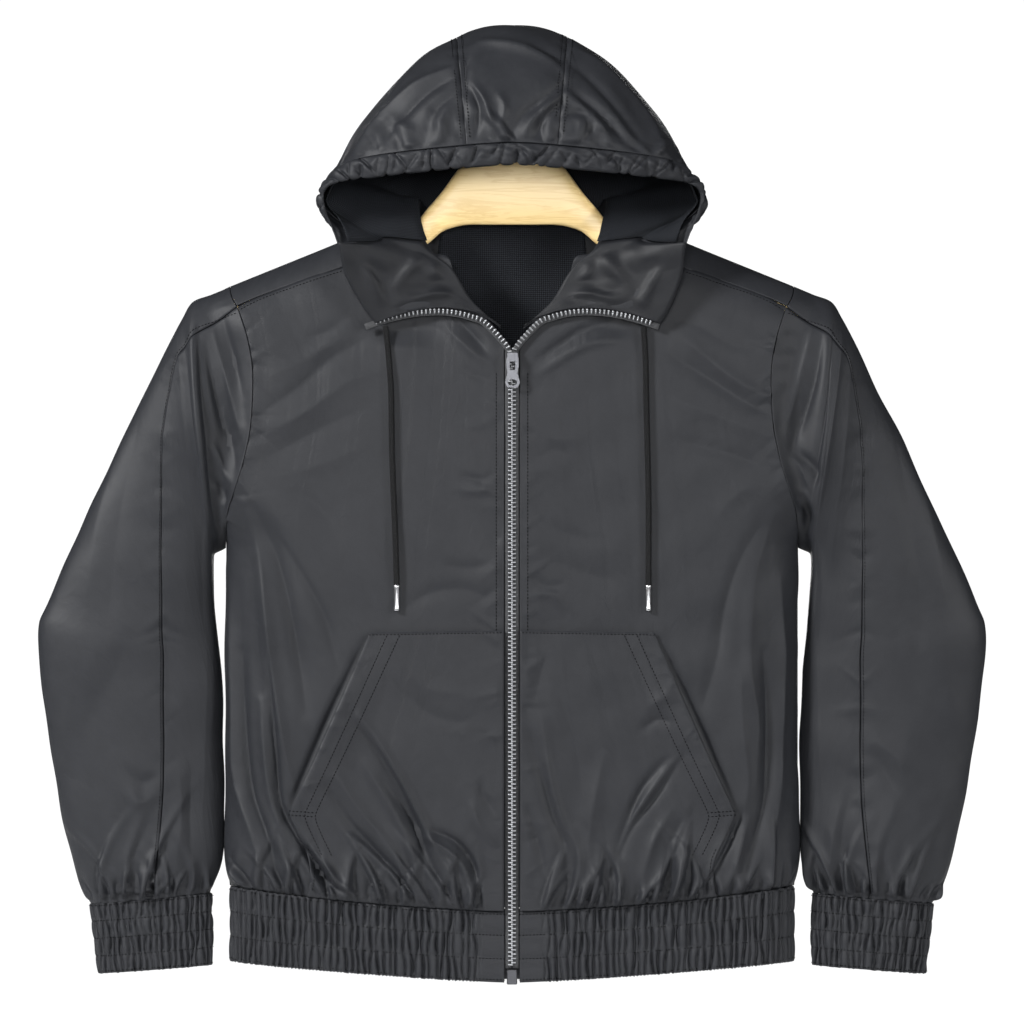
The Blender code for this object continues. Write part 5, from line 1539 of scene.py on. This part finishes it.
def brim_valleys(where, across, share):
    """Depth of the uneven gathers over the channel: rows along the rim."""
    rng = np.random.default_rng(122)
    count = int(where[-1] / 7.6)
    valley = np.zeros((len(where), len(across)))
    from_middle = across[None] - 9.0
    for number in range(count):
        place = (number + 0.5 + rng.uniform(-0.42, 0.42)) * where[-1] / count
        lean = rng.choice((-1.0, 1.0)) * rng.uniform(0.1, 0.95)
        bend = rng.uniform(-0.03, 0.03)
        away = where[:, None] - place - lean * from_middle - bend * from_middle ** 2
        one = rng.uniform(0.30, 1.0) * np.exp(-np.abs(away) / rng.uniform(0.9, 2.1))
        start, stop = rng.uniform(-0.5, 0.35), rng.uniform(0.6, 1.5)
        fade = ease((share - start) / 0.3) * ease((stop - share) / 0.3)
        valley += one * fade[None]
    return np.minimum(valley, 1.15)


def make_brim():
    """The gathered channel on the rim; share 0 is the rim itself."""
    arch = np.concatenate([np.linspace(0, 4.4, 61)[:-1], np.linspace(4.4, 13.6, 481)[:-1],
                           np.linspace(13.6, HOOD_END, 61)])
    share = np.linspace(0, 1, 21)
    down = rim_share(arch, BRIM_WIDTH)[:, None] * share[None]
    grid = arch[:, None] + 0 * down
    points, normals = hood_place(grid, down)
    where = running_length(hood_surface(arch, 0 * arch))
    fold = from_zip(arch)
    strong = ease((fold - 2.6) / 1.2)[:, None]
    across = share * BRIM_WIDTH
    valley = brim_valleys(where, across, share)
    puff = np.sin(math.pi * np.clip(share, 0, 1)) ** 0.45
    lumps = soft_waves(where[:, None] + 0 * grid, across[None] + 0 * grid, 123, 13.0, 0.8)
    height = puff[None] * (1.4 + strong * (3.2 - 5.4 * valley + lumps)) - 0.9 * valley * strong
    outer = points + normals * height[..., None]
    wave = np.exp(-share / 0.3)[None] * (4.6 * (0.42 - valley[:, :1]) * strong)
    outer[..., 2] -= wave * ease((fold - 5.0) / 2.0)[:, None]
    cloth_piece("hood_channel", outer, normals, ["hood_brim"], (640, 24), "gathered",
                rests_on=("hood_panel_centre",))


def make_neck_tape():
    """Binding over the seam between hood and body, inside the neck."""
    arch = np.linspace(4.7, HOOD_END - 4.7, 201)
    edge = hood_surface(arch, 0 * arch + 0.985)
    share = np.linspace(0, 1, 7)
    inward = unit(np.stack([-edge[:, 0], -edge[:, 1] - 20.0, 0 * arch], 1))[:, None]
    points = edge[:, None] + inward * (3.0 + 1.2 * np.sin(math.pi * share))[None, :, None]
    points[..., 2] += 4.0 - 16.0 * share[None]
    cloth_piece("neck_tape", points, np.broadcast_to(inward, points.shape), [], (260, 14),
                "laid", rests_on=("back_mesh",), thickness=LINING)


def make_back_lining():
    """Mesh inside the back, as far down as the open neck shows it."""
    across, down = np.linspace(-1, 1, 61), np.linspace(0, 1, 81)[:, None]
    top_x = 62.0 * across
    top = crest_z(top_x) - np.maximum(read(BACK_NECK_LINE, top_x), 0.0) + 5.0
    x, z = top_x[None] * (1.0 + 0.2 * down), top[None] + (-300.0 - top)[None] * down
    points, normals = body_place(x, z, True)
    height = 0.8 * soft_waves(x, z, 131, 50.0, 1.0)
    sides = 2.6 * ease((np.abs(across) - 0.8) / 0.2)[None]
    points = points - normals * (4.0 + sides - np.clip(height, -1.2, 1.2))[..., None]
    cloth_piece("back_mesh", points, normals, ["back_lining"], (120, 165), "hung", area=0.019,
                thickness=LINING, finish=MESH, slot="mesh_lining")


# ---------------------------------------------------------------- pockets
def pocket_grid(up, across):
    """x and z of the patch, flat, from its height and width shares."""
    edge = at_shares(path_points(POCKET_EDGE, 200), up)
    x = POCKET_START + (edge[:, 0] - POCKET_START)[:, None] * across[None]
    foot_z, head_z = POCKET_EDGE[0][1], POCKET_EDGE[-1][1]
    low = hem_top_z(x) + SEAM
    top = POCKET_TOP_Z + (head_z - POCKET_TOP_Z) * across[None]
    z = low + (top - low) * ((edge[:, 1] - foot_z) / (head_z - foot_z))[:, None]
    return x, z


def pocket_width(up):
    """Width of the patch up to the hand opening."""
    return at_shares(path_points(POCKET_EDGE, 200), up)[..., 0] - POCKET_START


def pocket_lift(up, across):
    """The hand opening stands a little away from the front."""
    open_height = ease((up - 0.22) / 0.25) * ease((0.99 - up) / 0.35)
    gape = ease((across - 0.72) / 0.28)[None] * open_height[:, None]
    rolled = np.exp(-((across - 0.985) / 0.02) ** 2)[None] * 0.5
    return LAYER + CLOTH + 1.0 + 4.6 * gape + rolled


def pocket_place(side, up, across, lift=0.0):
    """Points and outward normals of the patch over the folds of the front."""
    x, z = pocket_grid(up, across)
    points, normals = body_place(x, z, False)
    height = front_relief(side, x, z) + pocket_lift(up, across) + lift
    opening = ((9.0, 1.5, 7.0, [(186, -645), (156, -562), (126, -492)]),)
    height += np.abs(seam_pucker(opening, x, z, 700 + side))
    return mirrored(points + normals * height[..., None], side), mirrored(normals, side)


def make_pocket(side, word):
    across = np.concatenate([np.linspace(0, 0.88, 92)[:-1], np.linspace(0.88, 1, 22)])
    cloth_piece("pocket_patch_" + word, *pocket_place(side, toward_band(141, 0.2), across),
                ["pocket_" + word], (180, 235), "laid", area=0.034,
                rests_on=("front_panel_" + word,), step=4)


# ----------------------------------------------------------------- hanger
HANGER = (
    # x, top z, bottom z, half thickness
    (0, -62.0, -133.0, 7.0), (18, -63.5, -133.0, 7.0), (36, -75.0, -133.0, 7.5),
    (47, -86.0, -134.5, 8.0), (60, -104.0, -139.0, 8.0), (72, -118.0, -149.0, 8.5),
    (84, -130.5, -155.0, 9.0), (112, -138.5, -166.0, 9.5), (160, -159.5, -182.0, 10.0),
    (210, -181.0, -199.0, 9.0), (246, -198.0, -211.0, 7.0), (258, -201.5, -214.0, 6.5),
)
HOOK_RADIUS, HOOK_WIRE = 19.0, 2.0


def squared_off(value, power):
    """Sine or cosine pushed toward its ends, for a ring between round and square."""
    return np.sign(value) * np.abs(value) ** power


def make_hanger():
    half = np.array(HANGER)
    other = half[:0:-1].copy()
    other[:, 0] *= -1.0
    rows, sides = path_points(np.concatenate([other, half]), 150), 40
    angle = np.linspace(0, 2 * math.pi, sides, endpoint=False)
    x, top, bottom, deep = rows.T[:, :, None]
    y = deep * squared_off(np.cos(angle), 0.62)
    z = (top + bottom) / 2 + (top - bottom) / 2 * squared_off(np.sin(angle), 0.75)
    points = np.stack([np.broadcast_to(x, z.shape), y, z], -1)
    faces = closed_tube_faces(len(rows), sides, False)
    lay(new_piece("hanger_wood", points, faces, WOOD), ["hanger"])


def make_hook():
    """Wire hook, its inner crown at the origin, and the ferrule at its foot."""
    turn = np.radians(np.linspace(-62, 205, 60))
    centre_z = -(HOOK_RADIUS - HOOK_WIRE)
    loop = np.stack([HOOK_RADIUS * np.cos(turn), 0 * turn, centre_z + HOOK_RADIUS * np.sin(turn)], 1)
    stem = np.array([[0, 0, -61.6], [0, 0, -54.0], [0.6, 0, -46.0], [2.8, 0, -38.5]])
    path = path_points(np.concatenate([stem, loop[::4]]), 120)
    radii = np.full(120, HOOK_WIRE)
    radii[-3:] = (1.8, 1.3, 0.5)
    lay(tube_piece("hook_wire", path, radii, STEEL, 20), ["hanger_hook"])
    upright = np.stack([np.zeros(8), np.zeros(8), np.linspace(-61.8, -58.8, 8)], 1)
    radii = np.array([4.2, 4.2, 4.0, 3.6, 3.0, 2.6, 2.4, 2.1])
    lay(tube_piece("hook_ferrule", upright, radii, STEEL, 24), [])


# --------------------------------------------------------------- stitches
def row_tree(label, length, width, pitch, finish):
    """A tree that sets one small bead after another along every given path."""
    tree = bpy.data.node_groups.new(label, "GeometryNodeTree")
    tree.interface.new_socket("Geometry", in_out="INPUT", socket_type="NodeSocketGeometry")
    tree.interface.new_socket("Geometry", in_out="OUTPUT", socket_type="NodeSocketGeometry")
    for name, default in (("pitch", pitch), ("length", length), ("width", width)):
        socket = tree.interface.new_socket(label + " " + name, in_out="INPUT",
                                           socket_type="NodeSocketFloat")
        socket.default_value = default
    nodes, link = tree.nodes, tree.links.new
    source = nodes.new("NodeGroupInput").outputs
    resample = nodes.new("GeometryNodeResampleCurve")
    resample.mode = "LENGTH"
    link(source["Geometry"], resample.inputs["Curve"])
    link(source[label + " pitch"], resample.inputs["Length"])
    align = nodes.new("FunctionNodeAxesToRotation")
    align.primary_axis, align.secondary_axis = "Z", "X"
    link(nodes.new("GeometryNodeInputTangent").outputs[0], align.inputs["Primary Axis"])
    link(nodes.new("GeometryNodeInputNormal").outputs[0], align.inputs["Secondary Axis"])
    bead = add_node(tree, "GeometryNodeMeshUVSphere", Segments=4, Rings=3, Radius=0.5)
    flatter = multiply(tree, source[label + " width"], 0.9)
    size = nodes.new("ShaderNodeCombineXYZ")
    link(source[label + " width"], size.inputs["X"])
    link(flatter, size.inputs["Y"])
    link(source[label + " length"], size.inputs["Z"])
    sized = nodes.new("GeometryNodeTransform")
    link(bead.outputs["Mesh"], sized.inputs["Geometry"])
    link(size.outputs[0], sized.inputs["Scale"])
    place = nodes.new("GeometryNodeInstanceOnPoints")
    link(resample.outputs[0], place.inputs["Points"])
    link(sized.outputs[0], place.inputs["Instance"])
    link(align.outputs[0], place.inputs["Rotation"])
    made = place.outputs[0]
    for kind in ("GeometryNodeRealizeInstances", "GeometryNodeSetShadeSmooth",
                 "GeometryNodeSetMaterial"):
        step = nodes.new(kind)
        link(made, step.inputs[0])
        made = step.outputs[0]
    step.inputs["Material"].default_value = finish
    link(made, nodes.new("NodeGroupOutput").inputs[0])
    return tree


def grown_rows(name, paths, tree):
    """Run a tree along a list of paths and keep the result as a plain mesh."""
    data = bpy.data.curves.new(name + "_paths", "CURVE")
    data.dimensions = "3D"
    for path in paths:
        line = data.splines.new("POLY")
        line.points.add(len(path) - 1)
        weighted = np.concatenate([np.asarray(path) * MM, np.ones((len(path), 1))], 1)
        line.points.foreach_set("co", weighted.ravel())
    guide = bpy.data.objects.new(name + "_paths", data)
    scene.collection.objects.link(guide)
    change = guide.modifiers.new(name, "NODES")
    change.node_group = tree
    bpy.context.view_layer.update()
    grown = guide.evaluated_get(bpy.context.evaluated_depsgraph_get())
    result = bpy.data.meshes.new_from_object(grown)
    bpy.data.objects.remove(guide, do_unlink=True)
    result.name = name
    piece = bpy.data.objects.new(name, result)
    scene.collection.objects.link(piece)
    return lay(piece, [])


STITCH_LIFT = 0.15                 # how far stitches stand off the folded cloth
SLEEVE_LIFT = 0.2
BAND_LIFT = 0.25
STITCH_LENGTH, STITCH_WIDTH, STITCH_PITCH = 2.1, 0.85, 3.0


def refine(path):
    """A path with points about 2 mm apart."""
    path = np.asarray(path, float)
    return path_points(path, max(int(running_length(path)[-1] / 2.0), 4))


def on_front(side, route):
    """A stitch line over the folds of a front, from a few x and z."""
    x, z = refine(route).T
    points, normals = body_place(x, z, False)
    return mirrored(points + normals * (front_relief(side, x, z) + STITCH_LIFT)[..., None], side)


def across_pocket(side, ups, acrosses):
    """A stitch line on the patch, from shares of its height and of its width."""
    spots = zip(ups[:, None], acrosses[:, None])
    return np.array([pocket_place(side, up, across, STITCH_LIFT)[0][0, 0] for up, across in spots])


def inside_opening(side, ups, insets):
    """The same, from distances in from the hand opening."""
    return across_pocket(side, ups, 1.0 - insets / pocket_width(ups))


def on_sleeve(side, ring, angle):
    """A stitch line over the folds of a sleeve."""
    points = sleeve_surface(ring, angle)
    step = 1e-2
    along = sleeve_surface(ring + step, angle) - sleeve_surface(ring - step, angle)
    around = sleeve_surface(ring, angle + step) - sleeve_surface(ring, angle - step)
    normals = unit(np.cross(along, around))
    outward = points - sleeve_middle(ring)
    normals *= np.sign(np.sum(normals * outward, axis=-1, keepdims=True))
    height = sleeve_relief(side, points) * ease(ring / 0.6)
    return mirrored(points + normals * (height + SLEEVE_LIFT)[..., None], side)


def on_hood(arch, down, lift):
    """A stitch line just over the hood."""
    points, normals = hood_place(arch, down)
    return points + normals * lift


def on_band(side, back):
    """Four rows of stitches over the elastic of the hem band."""
    points, normals = hem_band(side, back, 0.3, 28)
    return [points[row] + normals[row] * BAND_LIFT for row in (1, 9, 18, 26)]


def on_cuff(side):
    """Five rows of stitches right round a cuff."""
    angle = np.linspace(0, 2 * math.pi, 240, endpoint=False)
    points, outward = cuff_surface(side, angle, np.linspace(0, 1, 33))
    lines = [points[row] + outward[row] * BAND_LIFT for row in (1, 8, 16, 24, 31)]
    return [np.concatenate([line, line[:1]]) for line in lines]


def front_and_sleeve_stitches(side):
    """Beside the zip, along the shoulder seam and the armhole, down the sleeve."""
    beside_zip = [(13.5, -262), (13.5, -400), (13.5, -560), (13.5, -700)]
    shoulder = np.array(SHOULDER_SEAM[:-1] + ((232.0, -203.0),), float) + (0.0, -3.0)
    high = np.linspace(0.25, 2.6, 30)
    ring = np.linspace(2.6, 14.8, 260)
    return [on_front(side, beside_zip), on_front(side, shoulder),
            on_sleeve(side, high, np.arccos(1 - 2 * (0.90 - 0.005 * high))),
            on_sleeve(side, ring, sleeve_seam_angle(ring) + 0.035)]


def pocket_stitches(side):
    """The patch's top, two lines and a bar tack at the hand opening, its foot."""
    top = np.linspace(0.02, 0.99, 90)
    up = np.linspace(0.16, 0.985, 90)
    tack = np.linspace(0, 1, 8)
    low = np.linspace(0.03, 0.17, 24)
    paths = [across_pocket(side, 0.992 + 0 * top, top)]
    paths += [inside_opening(side, up, near + (far - near) * up)
              for near, far in ((12.0, 16.0), (20.0, 27.0))]
    paths += [inside_opening(side, share + 0 * tack, 19.0 * tack) for share in (0.30, 0.315)]
    return paths + [inside_opening(side, low, 3.0 + 0 * low)]


def hood_stitches():
    """Along the channel's seam, and on both sides of the two panel seams."""
    arch = np.linspace(0.15, HOOD_END - 0.15, 700)
    paths = [on_hood(arch, rim_share(arch, BRIM_WIDTH - 0.6), 0.5)]
    down = np.linspace(0.07, 0.99, 160)
    for seam in (HOOD_SEAM, HOOD_END - HOOD_SEAM):
        paths += [on_hood(seam + offset + 0 * down, down, 0.35) for offset in (-0.06, 0.06)]
    return paths


def make_stitches():
    paths = []
    for side, _ in SIDES:
        paths += front_and_sleeve_stitches(side) + pocket_stitches(side)
        paths += on_band(side, False) + on_cuff(side)
    paths += on_band(1, True) + hood_stitches()
    # The beads take the near-black thread finish, painted shade along the stitch lines.
    tree = row_tree("Stitch", STITCH_LENGTH * MM, STITCH_WIDTH * MM, STITCH_PITCH * MM, THREAD_PAINTED_SHADE)
    grown_rows("stitching", paths, tree)


# -------------------------------------------------------------------- zip
TOOTH_PITCH = 3.65                 # between the teeth of one side
TOOTH_SIDES = 6
TOOTH = (
    # reach from the middle of the tape, half size
    (-1.0, 0.70), (0.6, 0.72), (1.1, 0.62), (1.5, 0.95), (2.3, 1.05), (2.9, 0.85), (3.2, 0.45),
)


def zip_route(side):
    """Middle of one tape from the retainer up to the slider and along the collar."""
    low = np.linspace(ZIP_END_Z, SLIDER_TOP_Z - 22.0, 40)
    front = np.stack([0 * low + ZIP_CENTRE, -body_depth(ZIP_CENTRE, low, False) + 1.2, low], 1)
    down = np.linspace(0.90, 0.0, 30)
    edge = hood_surface(HOOD_END, down)
    below = unit(np.gradient(edge, axis=0))
    outward = unit(np.stack([below[:, 2], 0 * down, -below[:, 0]], 1))
    collar = edge + outward * 3.6
    meet = np.array([[ZIP_CENTRE, -37.2, SLIDER_TOP_Z - 6.0],
                     [ZIP_CENTRE + 1.2, -37.6, SLIDER_TOP_Z + 4.0]])
    path = path_points(np.concatenate([front[::4], meet, collar[1::4]]), 260)
    flat = unit(np.gradient(path, axis=0))
    inward = np.stack([-flat[:, 2], 0 * flat[:, 0], flat[:, 0]], 1)
    return mirrored(path, side), mirrored(inward, side)


def make_zip(side, word):
    path, inward = zip_route(side)
    wide, thick = 2.7, 0.5
    profile = ((-1, -1), (1, -1), (1, 1), (-1, 1))
    up = np.array([0.0, 1.0, 0.0])
    points = np.stack([path + inward * a * wide + up * b * thick for a, b in profile], 1)
    u = np.broadcast_to(np.array([0.0, 5.4, 6.4, 11.8])[None], points.shape[:2])
    v = np.broadcast_to(running_length(path)[:, None], points.shape[:2])
    faces = closed_tube_faces(len(path), 4, side > 0)
    tape = new_piece("zip_tape_" + word, points, faces, TAPE, np.stack([u, v], -1))
    lay(tape, ["zip_" + word])


def tooth_points(middle, toward, closed):
    """One rounded tooth on the tape's edge; closed pushes it over the middle."""
    depth = np.array([0.0, -1.0, 0.0])
    tall = np.cross(toward, depth)
    points = []
    for reach, size in TOOTH:
        for number in range(TOOTH_SIDES):
            turn = 2 * math.pi * number / TOOTH_SIDES
            a, b = squared_off(math.cos(turn), 0.7), squared_off(math.sin(turn), 0.7)
            forward = 1.0 + a * 1.25 * min(size + 0.25, 1.0)
            points.append(middle + toward * (reach + 0.9 * closed) + depth * forward
                          + tall * b * size)
    return points


def make_teeth():
    """Teeth on the inner edge of both tapes, half a pitch apart."""
    points, faces = [], []
    tooth_faces = closed_tube_faces(len(TOOTH), TOOTH_SIDES, False)
    for side, _ in SIDES:
        path, inward = zip_route(side)
        length = running_length(path)
        first = 3.0 + (0.0 if side < 0 else TOOTH_PITCH / 2)
        for number in range(int((length[-1] - 6.0) / TOOTH_PITCH)):
            here = first + number * TOOTH_PITCH
            middle = np.array([np.interp(here, length, path[:, c]) for c in range(3)])
            toward = np.array([np.interp(here, length, inward[:, c]) for c in range(3)])
            toward = toward / np.linalg.norm(toward)
            below = ease((SLIDER_TOP_Z - 8.0 - middle[2]) / 4.0)
            start = len(points)
            points += tooth_points(middle, toward, below if abs(middle[0]) < 8 else 0.0)
            faces += [[start + corner for corner in face] for face in tooth_faces]
    lay(new_piece("zip_teeth", points, faces, TOOTH_METAL), [])


def finish_trim():
    """The slider, its tab and the retainer keep their solids, with eased edges."""
    for node, width in (("zip_slider", 0.35), ("zip_pull_tab", 0.3), ("zip_box", 0.4)):
        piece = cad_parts[node]
        piece.data.materials.clear()
        piece.data.materials.append(DARK_METAL)
        change = piece.modifiers.new("eased_edges", "BEVEL")
        change.width = width * MM
        change.segments = 3
        change.limit_method = "ANGLE"
        change.angle_limit = math.radians(35)


# ------------------------------------------------------------ stage, lights
WORLD_FRONT = 0.055                # strength of the surrounding light but for its back
LIGHTS = (
    # name, place, size, power, aim
    ("key_softbox", (-2.0, -1.6, 0.9), (0.55, 0.6), 190.0, (0.0, 0.0, -0.38)),
    ("side_softbox", (2.3, -1.8, 0.3), (0.7, 0.9), 74.0, (0.0, 0.0, -0.4)),
    ("front_softbox", (-0.2, -3.4, 0.1), (0.8, 0.8), 84.0, (0.0, 0.0, -0.3)),
    ("back_softbox", (0.0, 2.9, -0.1), (1.6, 1.2), 30.0, (0.0, 0.0, -0.3)),
)


def make_floor():
    """A plain pale floor just under the jacket."""
    corners = [(x, y, -0.86) for x, y in ((-1.3, -0.5), (1.3, -0.5), (1.3, 0.9), (-1.3, 0.9))]
    mesh = bpy.data.meshes.new("floor")
    mesh.from_pydata(corners, [], [(0, 1, 2, 3)])
    paper, _, shader = finish_named("pale_paper")
    shader.inputs["Base Color"].default_value = (0.93, 0.93, 0.93, 1.0)
    shader.inputs["Roughness"].default_value = 0.9
    shader.inputs["Emission Color"].default_value = (1.0, 1.0, 1.0, 1.0)
    shader.inputs["Emission Strength"].default_value = 0.5
    mesh.materials.append(paper)
    floor = bpy.data.objects.new("floor", mesh)
    scene.collection.objects.link(floor)


def make_surroundings():
    """White light from behind the jacket, dim light from everywhere else."""
    world = bpy.data.worlds.new("studio")
    world.use_nodes = True
    tree = world.node_tree
    back = tree.nodes["Background"]
    back.inputs["Color"].default_value = (1.0, 1.0, 1.0, 1.0)
    place = tree.nodes.new("ShaderNodeTexCoord")
    parts = tree.nodes.new("ShaderNodeSeparateXYZ")
    tree.links.new(place.outputs["Generated"], parts.inputs[0])
    fall = ranged(tree, parts.outputs["Y"], From_Min=0.95, From_Max=0.99, To_Min=WORLD_FRONT,
                  To_Max=1.05)
    tree.links.new(fall, back.inputs["Strength"])
    scene.world = world
    scene.view_settings.view_transform = "Standard"
    scene.view_settings.look = "None"


def make_lamps():
    """Large soft lights, each turned toward its aim."""
    for name, place, size, power, aim in LIGHTS:
        data = bpy.data.lights.new(name, "AREA")
        data.shape = "RECTANGLE"
        data.size, data.size_y = size
        data.energy = power
        lamp = bpy.data.objects.new(name, data)
        lamp.location = place
        way = np.array(aim) - np.array(place)
        way = way / np.linalg.norm(way)
        turn = math.atan2(way[1], way[0]) - math.pi / 2
        lamp.rotation_euler = (math.acos(-way[2]), 0.0, turn)
        scene.collection.objects.link(lamp)


make_cords()
for side, word in SIDES:
    make_front(side, word)
    make_sleeve(side, word, False)
    make_sleeve(side, word, True)
    make_hem(side, word)
    make_cuff(side, word)
    make_pocket(side, word)
    make_zip(side, word)
make_back()
make_hem_back()
make_hood()
make_back_lining()
make_hanger()
make_hook()
make_teeth()
make_stitches()
finish_trim()
make_floor()
make_surroundings()
make_lamps()
